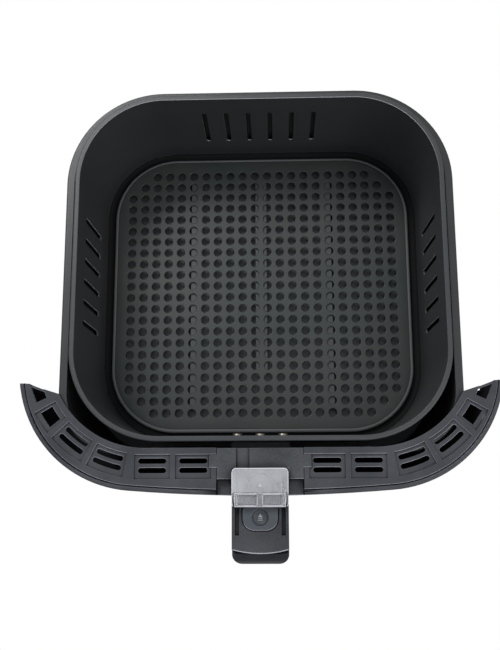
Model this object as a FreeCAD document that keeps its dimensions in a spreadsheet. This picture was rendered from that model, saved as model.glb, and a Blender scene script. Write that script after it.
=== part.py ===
"""Pull-out drawer of an air fryer: pan with a vented front cover, lift-out basket, latched handle.

Lengths are millimetres, +Z is up and the handle points to -Y.  Every piece is drawn about the
middle of the basket and then moved along Y, so that the origin lies under the middle of the whole
drawer, on the surface that it stands on.
"""
import FreeCAD
import Part
import math
import os
import re
import Sketcher

Vector = FreeCAD.Vector
Rotation = FreeCAD.Rotation

SIZES = {
    # how far a cut runs past the face that it opens
    "overrun": 1.0,
    # basket: raised perforated floor, groove round it, leaning wall and lip
    "plateau_x": 215.0,
    "plateau_y": 203.4,
    "plateau_corner": 46.0,
    "plateau_rise": 4.5,
    "plateau_edge": 3.5,
    "floor_sheet": 1.2,
    "floor_ledge": 3.0,
    "groove_width": 5.2,
    "wall_lean": 2.4,
    "wall_height": 81.5,
    "basket_sheet": 1.0,
    "basket_lip": 3.2,
    "basket_lip_height": 2.0,
    "foot_round": 3.0,
    "hole_margin": 12.0,
    "hole_pitch_x": 9.0,
    "hole_pitch_y": 8.37,
    "hole_size": 5.8,
    "hole_sides": 4,
    "air_slot_width": 3.2,
    "air_slot_length": 42.0,
    "air_slot_height": 19.5,
    "air_slots": 6,
    "rear_slot_pitch": 14.8,
    "side_slot_pitch": 13.8,
    # pan round the basket
    "pan_sheet": 1.2,
    "seat_gap": 0.3,
    "pan_side_gap": 0.9,
    "pan_rear_gap": 0.4,
    "pan_front_gap": 4.4,
    "pan_corner": 59.0,
    "pan_front_corner": 36.0,
    "pan_lip": 3.0,
    "pan_side_lip": 5.0,
    "pan_lip_height": 2.4,
    "pan_lean": 3.0,
    "pan_drop": 3.3,
    "pan_round": 3.5,
    "rib_pitch": 47.0,
    "rib_width": 8.0,
    "rib_margin": 15.7,
    "notch_clear": 1.0,
    "notch_drop": 4.5,
    # vented front cover: crescent frame inside an outer panel
    "frame_gap": 3.8,
    "frame_drop": 0.5,
    "frame_plate": 2.5,
    "frame_corner": 60.0,
    "frame_side_gap": 5.1,
    "frame_skirt": 37.0,
    "skirt_wall": 2.0,
    "inner_skirt": 24.0,
    "cover_reach": 28.5,
    "cover_side": 24.3,
    "cover_corner": 75.0,
    "cover_sag": 2.92,
    "tip_depth": 68.4,
    "tip_slope": 6.8,
    "panel_wall": 3.0,
    "panel_gap": 0.4,
    "panel_foot": 6.0,
    "panel_edge": 1.2,
    "panel_floor": 2.5,
    "cell_depth": 1.0,
    "cell_margin": 4.0,
    "cell_width": 14.5,
    "cell_length": 21.6,
    "front_cell": 40.2,
    "front_cell_pitch": 24.8,
    "corner_cell": 18.5,
    "corner_cell_pitch": 19.9,
    "corner_cell_half": 8.6,
    "vent_width": 3.2,
    "vent_length": 16.9,
    "vent_half": 5.8,
    "vent_row": 7.8,
    "vent_row_pitch": 5.6,
    "port_angle": 55.2,
    "port_half": 4.0,
    "port_cell_half": 5.4,
    "port_width": 8.0,
    "tip_port_angle": 69.5,
    "tip_port_half": 5.0,
    "tip_port_width": 7.0,
    # screws, rivets and their clearances
    "screw_shank": 1.75,
    "screw_head": 3.4,
    "screw_head_height": 1.5,
    "screw_clear": 0.15,
    "screw_sides": 6,
    "rivet_sides": 12,
    "boss_radius": 4.0,
    "pan_screw_x": 66.0,
    "pan_screw_drop": 16.0,
    "panel_screw_x": 40.0,
    "panel_screw_pitch": 24.0,
    "panel_screw_drop": 20.0,
    "rivet_shank": 1.6,
    "rivet_head": 3.2,
    "rivet_pitch": 14.0,
    "rivet_drop": 10.5,
    # handle root between the wings of the cover
    "part_gap": 0.3,
    "base_width": 52.0,
    "base_height": 18.1,
    "tab_reach": 4.8,
    "tab_depth": 7.6,
    "tab_sheet": 1.2,
    "tab_setback": 4.3,
    "strip_width": 8.0,
    "strip_length": 12.2,
    "strip_x": 10.4,
    "strip_depth": 1.5,
    "bracket_width": 36.0,
    "bracket_sheet": 1.5,
    "bracket_height": 15.5,
    "bracket_reach": 15.0,
    "bracket_bend": 2.4,
    "base_screw_x": 12.0,
    "base_screw_setback": 9.0,
    "base_screw_length": 10.0,
    "root_screw_x": 20.0,
    "root_screw_drop": 13.0,
    "root_screw_length": 16.0,
    # handle shells
    "root_depth": 9.8,
    "root_drop": 26.0,
    "handle_width": 33.6,
    "nose_reach": 19.8,
    "handle_rise": 4.0,
    "upper_height": 10.0,
    "upper_plate": 3.0,
    "upper_tail": 6.3,
    "shell_wall": 2.6,
    "nose_depth": 6.4,
    "nose_top": 9.0,
    "nose_round": 6.0,
    "nose_screw_setback": 8.0,
    "crease_bow": 62.5,
    "crease_round": 1.2,
    "handle_screw_x": 12.0,
    # release button, its spring and the latch
    "button_width": 20.9,
    "button_length": 15.1,
    "button_setback": 4.9,
    "button_corner": 3.6,
    "button_front": 7.0,
    "button_proud": 1.2,
    "button_gap": 0.5,
    "button_flange": 1.3,
    "flange_sheet": 0.8,
    "button_travel": 4.0,
    "dimple_radius": 5.0,
    "dimple_depth": 0.7,
    "stem_width": 5.0,
    "stem_depth": 3.0,
    "spring_wire": 0.6,
    "spring_radius": 2.5,
    "spring_turns": 3,
    "spring_setback": 2.8,
    "post_radius": 3.2,
    "pivot_setback": 4.0,
    "pivot_drop": 10.5,
    "pin_radius": 1.5,
    "pin_length": 19.0,
    "pin_fit": 0.02,
    "pivot_fit": 0.05,
    "lever_width": 6.0,
    "lever_arm": 3.0,
    "lever_leg": 2.4,
    "lever_boss": 3.2,
    "lever_slot": 0.8,
    "lever_touch": 0.4,
    "tooth_reach": 2.4,
    "tooth_height": 3.5,
    "tooth_clear": 0.4,
    "keeper_width": 22.0,
    "keeper_sheet": 1.5,
    "keeper_height": 9.6,
    "keeper_drop": 3.3,
    "keeper_screw_x": 8.0,
    # clear guard that slides over the button
    "guard_length": 22.5,
    "guard_width": 33.4,
    "guard_plate": 1.8,
    "guard_clear": 0.8,
    "guard_corner": 3.6,
    "guard_overlap": 1.6,
    "guard_grip": 8.0,
    "guard_grip_height": 1.6,
    "guard_grip_pocket": 9.2,
    "guard_travel": 18.0,
    "rail_x": 13.7,
    "rail_width": 1.8,
    "rail_clear": 0.3,
    "rail_depth": 1.8,
    "rail_inset": 2.0,
}

doc = FreeCAD.newDocument("air_fryer_drawer")
sheet = doc.addObject("Spreadsheet::Sheet", "Sizes")
for row, (alias, size) in enumerate(SIZES.items(), start=1):
    sheet.set(f"A{row}", alias.replace("_", " "))
    sheet.set(f"B{row}", str(size))
    sheet.setAlias(f"B{row}", alias)
doc.recompute()


def bound(text):
    """Expression in which each size's name points to its cell."""
    return re.sub(r"[a-z_]+", lambda word: f"Sizes.{word[0]}" if word[0] in SIZES else word[0], text)


def value(text):
    """Number that an expression of sizes gives now."""
    return float(sheet.evalExpression(bound(text)))


# Levels and half widths that several pieces share, as expressions of the sizes
FOOT_Z = "(pan_sheet + seat_gap)"
GROOVE_Z = f"({FOOT_Z} + basket_sheet)"
PLATEAU_Z = f"({GROOVE_Z} + plateau_rise)"
RIM_Z = f"({PLATEAU_Z} + wall_height)"
PAN_RIM_Z = f"({RIM_Z} - pan_drop)"
FRAME_Z = f"({RIM_Z} - frame_drop)"
FRAME_UNDER_Z = f"({FRAME_Z} - frame_plate)"
BASE_Z = f"({FRAME_Z} - base_height)"
ROOT_Z = f"({FRAME_Z} - root_drop)"
HANDLE_Z = f"({FRAME_Z} + handle_rise)"
PART_Z = f"({HANDLE_Z} - upper_height)"
PLATE_Z = f"({HANDLE_Z} - upper_plate)"
FLANGE_Z = f"({PLATE_Z} - part_gap - flange_sheet)"
PIVOT_Z = f"({FRAME_Z} - pivot_drop)"
LEVER_TOP_Z = f"({PIVOT_Z} + lever_arm/2)"
NOTCH_Z = f"({ROOT_Z} - part_gap)"
LEDGE_Z = f"({NOTCH_Z} - keeper_drop)"
TOOTH_Z = f"({LEDGE_Z} - keeper_sheet - tooth_clear)"

RIB_LENGTH = "(plateau_y - 2*rib_margin)"
FOOT_X = "(plateau_x/2 + groove_width)"
FOOT_Y = "(plateau_y/2 + groove_width)"
FOOT_CORNER = "(plateau_corner + groove_width)"
WALL_X = f"({FOOT_X} + wall_lean)"
WALL_Y = f"({FOOT_Y} + wall_lean)"
WALL_CORNER = f"({FOOT_CORNER} + wall_lean)"
LIP_X = f"({WALL_X} + basket_lip)"
LIP_Y = f"({WALL_Y} + basket_lip)"
PAN_X = f"({LIP_X} + pan_side_gap)"
PAN_REAR = f"({LIP_Y} + pan_rear_gap)"
PAN_FRONT = f"({LIP_Y} + pan_front_gap)"
PAN_Y = f"(({PAN_REAR} + {PAN_FRONT})/2)"
PAN_MIDDLE = f"(({PAN_REAR} - {PAN_FRONT})/2)"

# Distances in front of the basket's middle
FRAME_Y = f"({LIP_Y} + frame_gap)"
COVER_Y = f"({FRAME_Y} + cover_reach)"
SEAM_Y = f"({COVER_Y} - root_depth)"
TAIL_Y = f"({SEAM_Y} - upper_tail)"
PIVOT_Y = f"({SEAM_Y} - pivot_setback)"
BUTTON_Y = f"({COVER_Y} + button_setback)"
BUTTON_END_Y = f"({BUTTON_Y} + button_length)"
NOSE_Y = f"({BUTTON_END_Y} + nose_reach)"
CREASE_Y = f"({NOSE_Y} - nose_depth)"
STEM_Y = f"({BUTTON_Y} + button_length/2 - spring_setback)"
SPRING_Y = f"({BUTTON_END_Y} - spring_setback)"
GUARD_END_Y = f"({BUTTON_Y} + guard_overlap)"
GUARD_Y = f"({GUARD_END_Y} - guard_length)"
SKIRT_Y = f"({COVER_Y} - panel_wall - panel_gap - skirt_wall)"
BRACKET_Y = f"({WALL_Y} + basket_sheet + seat_gap)"
INNER_SKIRT_Y = f"({PAN_FRONT} + pan_lip + panel_gap)"
CENTRE_Y = f"(({NOSE_Y} - {PAN_REAR} - pan_lip)/2)"

# The cover's front is an arc that falls back by its sag between the middle and the round corners
COVER_FLAT = f"({PAN_X} + pan_side_lip + cover_side - cover_corner)"
COVER_BOW = f"(({COVER_FLAT}^2 + cover_sag^2)/(2*cover_sag) + cover_corner)"
CORNER_X = f"({PAN_X} + pan_side_lip + frame_side_gap - frame_corner)"
CORNER_Y = f"({FRAME_Y} - frame_corner)"

# Heights of screws and rivets, the holes that they pass through, and the two sides of what is mirrored
PAN_SCREW_Z = f"({PAN_RIM_Z} - pan_screw_drop)"
PANEL_SCREW_Z = f"({FRAME_UNDER_Z} - panel_screw_drop)"
KEEPER_SCREW_Z = f"({LEDGE_Z} - keeper_height + boss_radius)"
ROOT_SCREW_Z = f"({FRAME_Z} - root_screw_drop)"
RIVET_Z = f"({RIM_Z} - rivet_drop)"
RIVET_PLACES = ("-rivet_pitch", "0", "rivet_pitch")
PANEL_SCREW_PLACES = ("panel_screw_x", "(panel_screw_x + panel_screw_pitch)")
SHANK_HOLE = "screw_shank + screw_clear"
HEAD_HOLE = "screw_head + screw_clear"
SIDES = ("-", "")


def place(item):
    """Move a finished piece so that the origin lies under the middle of the drawer."""
    item.setExpression("Placement.Base.y", bound(CENTRE_Y))
    return item


def new_body(label):
    """Empty body for one piece."""
    return place(doc.addObject("PartDesign::Body", label))


def sketch_on(body, role, height="0"):
    """Empty sketch on one of the body's own planes, lifted along the plane's normal."""
    sketch = body.newObject("Sketcher::SketchObject", f"{body.Label}_sketch")
    plane = next(item for item in body.Origin.OriginFeatures if item.Role == role)
    sketch.AttachmentSupport = [(plane, "")]
    sketch.MapMode = "FlatFace"
    sketch.setExpression("AttachmentOffset.Base.z", bound(height))
    return sketch


def plan(body, height="0"):
    """Empty level sketch at a height."""
    return sketch_on(body, "XY_Plane", height)


def elevation(body, distance):
    """Empty upright sketch that faces the front, at a distance in front of the basket's middle."""
    return sketch_on(body, "XZ_Plane", distance)


def profile(body):
    """Empty upright sketch on the drawer's middle plane."""
    return sketch_on(body, "YZ_Plane")


def arc_between(start, end, radius, turn):
    """Arc shorter than a half circle, turning left (+1) or right (-1) from start to end."""
    chord = end - start
    depth = math.sqrt(max(radius**2 - chord.Length**2 / 4, 0))
    centre = (start + end) * 0.5 + Vector(-chord.y, chord.x, 0).normalize() * depth * turn
    angles = [math.atan2(spot.y - centre.y, spot.x - centre.x) for spot in (start, end)]
    circle = Part.Circle(centre, Vector(0, 0, 1), radius)
    return Part.ArcOfCircle(circle, *angles[::turn])


def outline(sketch, points, arcs=()):
    """Closed outline whose corners and radii are bound to the sizes.

    points are (x, y) expressions; arcs gives, by the index of the point where an edge starts,
    the radius and the turn (+1 left, -1 right) of each edge that is round.
    """
    arcs = dict(arcs)
    spots = [Vector(value(x), value(y), 0) for x, y in points]
    first = sketch.GeometryCount
    ends = []
    rules = []
    for index, start in enumerate(spots):
        end = spots[(index + 1) % len(spots)]
        radius, turn = arcs.get(index, ("0", 1))
        ends.append((1, 2)[::turn])
        if index in arcs:
            sketch.addGeometry(arc_between(start, end, value(radius), turn))
            rules.append((Sketcher.Constraint("Radius", first + index, value(radius)), radius))
        else:
            sketch.addGeometry(Part.LineSegment(start, end))
    for index, (x, y) in enumerate(points):
        edge = first + index
        near = ends[index][0]
        before = first + (index - 1) % len(points)
        rules.append((Sketcher.Constraint("Coincident", before, ends[index - 1][1], edge, near), None))
        rules.append((Sketcher.Constraint("DistanceX", -1, 1, edge, near, spots[index].x), x))
        rules.append((Sketcher.Constraint("DistanceY", -1, 1, edge, near, spots[index].y), y))
    for rule, text in rules:
        number = sketch.addConstraint(rule)
        if text:
            sketch.setExpression(f"Constraints[{number}]", bound(text))
    return sketch


def rectangle(sketch, x_low, x_high, y_low, y_high):
    """Square-cornered outline between two x and two y expressions."""
    return outline(sketch, [(x_low, y_low), (x_high, y_low), (x_high, y_high), (x_low, y_high)])


def rounded(sketch, half_x, half_y, corner, middle="0", front=None):
    """Rounded rectangle about (0, middle); front is the radius of its two corners at -Y, if it differs."""
    front = front or corner
    front_x, front_y = (f"({half} - ({front}))" for half in (half_x, half_y))
    rear_x, rear_y = (f"({half} - ({corner}))" for half in (half_x, half_y))
    points = [
        (f"-{front_x}", f"{middle} - {half_y}"), (front_x, f"{middle} - {half_y}"),
        (half_x, f"{middle} - {front_y}"), (half_x, f"{middle} + {rear_y}"),
        (rear_x, f"{middle} + {half_y}"), (f"-{rear_x}", f"{middle} + {half_y}"),
        (f"-{half_x}", f"{middle} + {rear_y}"), (f"-{half_x}", f"{middle} - {front_y}"),
    ]
    return outline(sketch, points, {1: (front, 1), 3: (corner, 1), 5: (corner, 1), 7: (front, 1)})


def upright_slot(sketch, x, y_low, length, width):
    """Slot with round ends, standing along y."""
    half = f"({width})/2"
    low = f"{y_low} + {half}"
    high = f"{y_low} + {length} - {half}"
    points = [
        (f"{x} + {half}", low), (f"{x} + {half}", high), (x, f"{y_low} + {length}"),
        (f"{x} - {half}", high), (f"{x} - {half}", low), (x, y_low),
    ]
    return outline(sketch, points, {index: (half, 1) for index in (1, 2, 4, 5)})


def level_slot(sketch, x, y, length, width):
    """Slot with round ends, lying along x."""
    half = f"({width})/2"
    reach = f"({length})/2"
    points = [
        (f"{x} - {reach} + {half}", f"{y} - {half}"), (f"{x} + {reach} - {half}", f"{y} - {half}"),
        (f"{x} + {reach}", y), (f"{x} + {reach} - {half}", f"{y} + {half}"),
        (f"{x} - {reach} + {half}", f"{y} + {half}"), (f"{x} - {reach}", y),
    ]
    return outline(sketch, points, {index: (half, 1) for index in (1, 2, 4, 5)})


def circle(sketch, x, y, radius):
    """Circle whose centre and radius are bound to the sizes."""
    number = sketch.addGeometry(Part.Circle(Vector(value(x), value(y), 0), Vector(0, 0, 1), value(radius)))
    rules = (
        (Sketcher.Constraint("Radius", number, value(radius)), radius),
        (Sketcher.Constraint("DistanceX", -1, 1, number, 3, value(x)), x),
        (Sketcher.Constraint("DistanceY", -1, 1, number, 3, value(y)), y),
    )
    for rule, text in rules:
        sketch.setExpression(f"Constraints[{sketch.addConstraint(rule)}]", bound(text))
    return sketch


def pad(body, sketch, length, both=False, back=False, lean=None):
    """Add a sketch's area, pushed along its normal; its far end is wider all round by lean."""
    feature = body.newObject("PartDesign::Pad", f"{body.Label}_pad")
    feature.Profile = sketch
    feature.setExpression("Length", bound(length))
    if lean:
        feature.setExpression("TaperAngle", bound(f"atan({lean}/({length}))"))
    feature.SideType = "Symmetric" if both else "One side"
    feature.Reversed = back
    doc.recompute()
    return feature


def pocket(body, sketch, length, both=False, back=False, lean=None):
    """Cut a sketch's area, against its normal unless back is set; a cut that removes nothing is refused."""
    before = body.Shape.Volume
    feature = body.newObject("PartDesign::Pocket", f"{body.Label}_pocket")
    feature.Profile = sketch
    feature.setExpression("Length", bound(length))
    if lean:
        feature.setExpression("TaperAngle", bound(f"atan({lean}/({length}))"))
    feature.SideType = "Symmetric" if both else "One side"
    feature.Reversed = back
    doc.recompute()
    if not body.Shape.Volume < before - 1e-6:
        raise ValueError(f"{feature.Name} removes nothing")
    return feature


def fillet(body, radius, choose):
    """Round every edge of the body that choose accepts by its bounding box."""
    base = body.Tip
    names = [f"Edge{n}" for n, edge in enumerate(base.Shape.Edges, start=1) if choose(edge)]
    feature = body.newObject("PartDesign::Fillet", f"{body.Label}_fillet")
    feature.Base = (base, names)
    feature.setExpression("Radius", bound(radius))
    doc.recompute()
    return feature


def pattern(body, original, role, length, count):
    """Row of copies of a feature along one of the body's axes."""
    feature = body.newObject("PartDesign::LinearPattern", f"{body.Label}_row")
    feature.Originals = [original]
    axis = next(item for item in body.Origin.OriginFeatures if item.Role == role)
    feature.Direction = (axis, [""])
    feature.setExpression("Length", bound(length))
    feature.setExpression("Occurrences", bound(count))
    body.Tip = feature
    doc.recompute()
    return feature


def mirror(body, originals):
    """Copies of features on the other side of the drawer's middle plane."""
    feature = body.newObject("PartDesign::Mirrored", f"{body.Label}_mirror")
    feature.Originals = originals
    plane = next(item for item in body.Origin.OriginFeatures if item.Role == "YZ_Plane")
    feature.MirrorPlane = (plane, [""])
    body.Tip = feature
    doc.recompute()
    return feature


def level_at(text):
    """Test for an edge that lies flat at one height."""
    height = value(text)
    return lambda edge: abs(edge.BoundBox.ZMin - height) < 1e-3 and abs(edge.BoundBox.ZMax - height) < 1e-3


def aim(item, spot, axis):
    """Put an item's own start at a spot of expressions and turn its length along an axis."""
    item.Placement.Rotation = Rotation(Vector(0, 0, 1), Vector(*axis))
    for name, text in zip("xyz", spot):
        item.setExpression(f"Placement.Base.{name}", bound(text))
    return item


def prism(label, radius, height, spot, axis, sides):
    """Many-sided bar that starts at a spot of expressions and runs along an axis."""
    item = doc.addObject("Part::Prism", label)
    item.setExpression("Circumradius", bound(radius))
    item.setExpression("Height", bound(height))
    item.setExpression("Polygon", bound(sides))
    return aim(item, spot, axis)


def fasteners(label, spots, axis, head, shank, sides="screw_sides"):
    """Group of equal screws or rivets: each has a head against axis and a shank along it.

    head and shank are (radius, height) expressions, and each spot is where the two meet.
    """
    back = [-part for part in axis]
    pieces = []
    for spot in spots:
        pair = doc.addObject("Part::Fuse", f"{label}_piece")
        pair.Base = prism(f"{label}_head", *head, spot, back, sides)
        pair.Tool = prism(f"{label}_shank", *shank, spot, axis, sides)
        pieces.append(pair)
    group = doc.addObject("Part::Compound", label)
    group.Links = pieces
    return place(group)


def tray(body, levels, rim, sheet_size, lean, foot):
    """Sheet-metal tray between two levels; rim: inner half sizes, corner, middle, front corner."""
    low, high = levels
    half_x, half_y, corner, middle, front = rim
    grow = f"{sheet_size} - {lean}"
    outer = rounded(plan(body, low), f"({half_x} + {grow})", f"({half_y} + {grow})", f"{corner} + {grow}",
                    middle, f"{front} + {grow}")
    pad(body, outer, f"{high} - {low}", lean=lean)
    inner = rounded(plan(body, f"{low} + {sheet_size}"), f"({half_x} - {lean})", f"({half_y} - {lean})",
                    f"{corner} - {lean}", middle, f"{front} - {lean}")
    pocket(body, inner, f"{high} - {low} - {sheet_size}", back=True, lean=lean)
    fillet(body, foot, level_at(f"{low} + {sheet_size}"))
    fillet(body, f"{foot} + {sheet_size}", level_at(low))


def round_lip(body, level, radius, wall):
    """Round the outer upper edge of a lip: wall holds the half sizes and middle of the wall inside it."""
    half_x, half_y, middle = (value(text) for text in wall)
    on_top = level_at(level)

    def outer(edge):
        box = edge.BoundBox
        far_x = max(abs(box.XMin), abs(box.XMax))
        far_y = max(abs(box.YMin - middle), abs(box.YMax - middle))
        return on_top(edge) and (far_x > half_x + 1e-3 or far_y > half_y + 1e-3)

    fillet(body, radius, outer)


def build_pan():
    """Pressed pan with leaning walls, rolled lip, floor ribs and a notch for the handle."""
    body = new_body("outer_pan")
    rim = (PAN_X, PAN_Y, "pan_corner", PAN_MIDDLE, "pan_front_corner")
    tray(body, ("0", PAN_RIM_Z), rim, "pan_sheet", "pan_lean", "pan_round")
    lip = plan(body, PAN_RIM_Z)
    rounded(lip, f"({PAN_X} + pan_side_lip)", f"({PAN_Y} + pan_lip)", "pan_corner + pan_lip", PAN_MIDDLE,
            "pan_front_corner + pan_lip")
    rounded(lip, *rim)
    pad(body, lip, "pan_lip_height", back=True)
    wall = (f"{PAN_X} + pan_sheet", f"{PAN_Y} + pan_sheet", PAN_MIDDLE)
    round_lip(body, PAN_RIM_Z, "pan_lip_height/2", wall)
    ribs = plan(body)
    upright_slot(ribs, "rib_pitch", f"-{RIB_LENGTH}/2", RIB_LENGTH, "rib_width")
    rib = pad(body, ribs, f"{PLATEAU_Z} - floor_sheet - seat_gap")
    mirror(body, [rib])
    middle = plan(body)
    upright_slot(middle, "0", f"rib_pitch/2 - {RIB_LENGTH}/2", f"{RIB_LENGTH} - rib_pitch/2", "rib_width")
    pad(body, middle, f"{PLATEAU_Z} - floor_sheet - seat_gap")
    hollow = f"{PLATEAU_Z} - floor_sheet - seat_gap - pan_sheet"
    under = plan(body)
    upright_slot(under, "rib_pitch", f"pan_sheet - {RIB_LENGTH}/2", f"{RIB_LENGTH} - 2*pan_sheet",
                 "rib_width - 2*pan_sheet")
    groove = pocket(body, under, hollow, back=True)
    mirror(body, [groove])
    middle = plan(body)
    upright_slot(middle, "0", f"rib_pitch/2 + pan_sheet - {RIB_LENGTH}/2",
                 f"{RIB_LENGTH} - rib_pitch/2 - 2*pan_sheet", "rib_width - 2*pan_sheet")
    pocket(body, middle, hollow, back=True)
    notch = elevation(body, LIP_Y)
    half = "(base_width/2 + notch_clear)"
    rectangle(notch, f"-{half}", half, f"{BASE_Z} - notch_drop", RIM_Z)
    pocket(body, notch, "pan_front_gap + pan_lip + overrun", back=True)
    holes = elevation(body, LIP_Y)
    for side in SIDES:
        circle(holes, f"{side}pan_screw_x", PAN_SCREW_Z, SHANK_HOLE)
    pocket(body, holes, "pan_front_gap + pan_lip + overrun", back=True)
    return body


def build_basket():
    """Basket wall: foot ring, leaning wall with air slots and an outward lip."""
    body = new_body("basket")
    rim = (WALL_X, WALL_Y, WALL_CORNER, "0", WALL_CORNER)
    tray(body, (FOOT_Z, RIM_Z), rim, "basket_sheet", "wall_lean", "foot_round")
    opening = rounded(plan(body, GROOVE_Z), "(plateau_x/2 - floor_ledge)",
                      "(plateau_y/2 - floor_ledge)", "plateau_corner - floor_ledge")
    pocket(body, opening, "basket_sheet")
    lip = plan(body, RIM_Z)
    rounded(lip, LIP_X, LIP_Y, f"{WALL_CORNER} + basket_lip")
    rounded(lip, WALL_X, WALL_Y, WALL_CORNER)
    pad(body, lip, "basket_lip_height", back=True)
    wall = (f"{WALL_X} + basket_sheet", f"{WALL_Y} + basket_sheet", "0")
    round_lip(body, RIM_Z, "basket_lip_height/2", wall)
    low_slot = f"{PLATEAU_Z} + air_slot_height"
    rear = elevation(body, f"-{FOOT_Y} + foot_round")
    upright_slot(rear, "-rear_slot_pitch*(air_slots - 1)/2", low_slot, "air_slot_length", "air_slot_width")
    slot = pocket(body, rear, "foot_round + wall_lean + 2*basket_sheet")
    pattern(body, slot, "X_Axis", "rear_slot_pitch*(air_slots - 1)", "air_slots")
    side = profile(body)
    upright_slot(side, "-side_slot_pitch*(air_slots - 1)/2", low_slot, "air_slot_length", "air_slot_width")
    slot = pocket(body, side, f"2*{LIP_X}", both=True)
    pattern(body, slot, "Y_Axis", "side_slot_pitch*(air_slots - 1)", "air_slots")
    holes = elevation(body, f"{FOOT_Y} - foot_round")
    for place_x in RIVET_PLACES:
        circle(holes, place_x, RIVET_Z, "rivet_shank + screw_clear")
    pocket(body, holes, "foot_round + wall_lean + 2*basket_sheet", back=True)
    return body


def hole_spots():
    """Middle of each hole of the floor's grid, with the corners left out as on the real sheet."""
    columns = int(value("(plateau_x - 2*hole_margin)/hole_pitch_x")) + 1
    rows = int(value("(plateau_y - 2*hole_margin)/hole_pitch_y")) + 1
    for row in range(rows):
        trim = max(2 - min(row, rows - 1 - row), 0)
        for column in range(trim, columns - trim):
            yield Vector((column - (columns - 1) / 2) * value("hole_pitch_x"),
                         (row - (rows - 1) / 2) * value("hole_pitch_y"), 0)


def build_basket_floor():
    """Raised floor with a rounded edge, open below, and its grid of air holes.

    Each hole has few sides and the area of the round one, which keeps so large a grid light.
    """
    body = doc.addObject("PartDesign::Body", "floor_blank")
    blank = rounded(plan(body, GROOVE_Z), "plateau_x/2", "plateau_y/2", "plateau_corner")
    pad(body, blank, "plateau_rise")
    fillet(body, "plateau_edge", level_at(PLATEAU_Z))
    under = rounded(plan(body, GROOVE_Z), "(plateau_x/2 - floor_sheet)",
                    "(plateau_y/2 - floor_sheet)", "plateau_corner - floor_sheet")
    pocket(body, under, "plateau_rise - floor_sheet", back=True)
    sides = int(value("hole_sides"))
    step = 2 * math.pi / sides
    radius = value("hole_size") / 2 * math.sqrt(step / math.sin(step))
    corners = [Vector(radius * math.cos((turn + 0.5) * step), radius * math.sin((turn + 0.5) * step), 0)
               for turn in range(sides + 1)]
    punch = Part.Face(Part.makePolygon(corners)).extrude(Vector(0, 0, value("plateau_rise + overrun")))
    height = Vector(0, 0, value(GROOVE_Z))
    holes = doc.addObject("Part::Feature", "floor_holes")
    holes.Shape = Part.Compound([punch.translated(spot + height) for spot in hole_spots()])
    floor = doc.addObject("Part::Cut", "basket_floor")
    floor.Base = body
    floor.Tool = holes
    return place(floor)


def cover_edge(inset):
    """Points and arcs of the cover's outer edge, from the left tip to the right one, moved inwards."""
    span = f"({COVER_BOW} - cover_corner)"
    ratio = f"(({COVER_BOW} - {inset})/{span})"
    touch_x = f"{COVER_FLAT}*{ratio}"
    touch_y = f"{COVER_BOW} - {COVER_Y} - ({span} - cover_sag)*{ratio}"
    tip_y = f"(tip_depth - {COVER_Y})"
    corner_y = f"(cover_corner + cover_sag - {COVER_Y})"
    corner = f"(cover_corner - {inset})"
    tip_x = f"({COVER_FLAT} + sqrt({corner}^2 - ({tip_y} - {corner_y})^2))"
    points = [(f"-{tip_x}", tip_y), (f"-{touch_x}", touch_y), (touch_x, touch_y), (tip_x, tip_y)]
    return points, [(corner, 1), (f"{COVER_BOW} - {inset}", 1), (corner, 1)]


def band_arcs(front, back):
    """Arcs of a band's outline: along the cover's edge and back along the same edge moved inwards."""
    start = len(front) + 1
    returning = {start + number: (radius, -1) for number, (radius, _) in enumerate(back)}
    return {**dict(enumerate(front)), **returning}


def on_corner(radius, angle):
    """Spot on the right wing, by its distance and angle about the middle of the frame's inner corner."""
    return f"{CORNER_X} + ({radius})*sin({angle})", f"-{CORNER_Y} - ({radius})*cos({angle})"


def corner_sector(sketch, low, high, angle, half):
    """Piece of a ring on the right wing, between two radii and about an angle."""
    points = [on_corner(low, f"{angle} + {half}"), on_corner(low, f"{angle} - {half}"),
              on_corner(high, f"{angle} - {half}"), on_corner(high, f"{angle} + {half}")]
    return outline(sketch, points, {0: (low, -1), 2: (high, 1)})


def corner_slot(sketch, radius, angle):
    """Curved slot with round ends on the right wing."""
    half = "vent_width/2"
    cap = f"({half})/({radius})*180/pi"
    first = f"{angle} - vent_half"
    last = f"{angle} + vent_half"
    low = f"{radius} - {half}"
    high = f"{radius} + {half}"
    points = [on_corner(high, first), on_corner(high, last), on_corner(radius, f"{last} + {cap}"),
              on_corner(low, last), on_corner(low, first), on_corner(radius, f"{first} - {cap}")]
    arcs = {0: (high, 1), 1: (half, 1), 2: (half, 1), 3: (low, -1), 4: (half, 1), 5: (half, 1)}
    return outline(sketch, points, arcs)


def crescent(inset, corner_x, corner_y, radius):
    """Points and arcs of the cover's plan: outer edge moved inwards, inner edge round a corner's middle."""
    points, arcs = cover_edge(inset)
    tip_y = f"(tip_depth - {COVER_Y} - tip_slope)"
    tip_x = f"({corner_x} + sqrt({radius}^2 - ({tip_y} + {corner_y})^2))"
    front = f"-{corner_y} - {radius}"
    inner = [(tip_x, tip_y), (corner_x, front), (f"-{corner_x}", front), (f"-{tip_x}", tip_y)]
    return points + inner, {**dict(enumerate(arcs)), 4: (radius, -1), 6: (radius, -1)}


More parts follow.
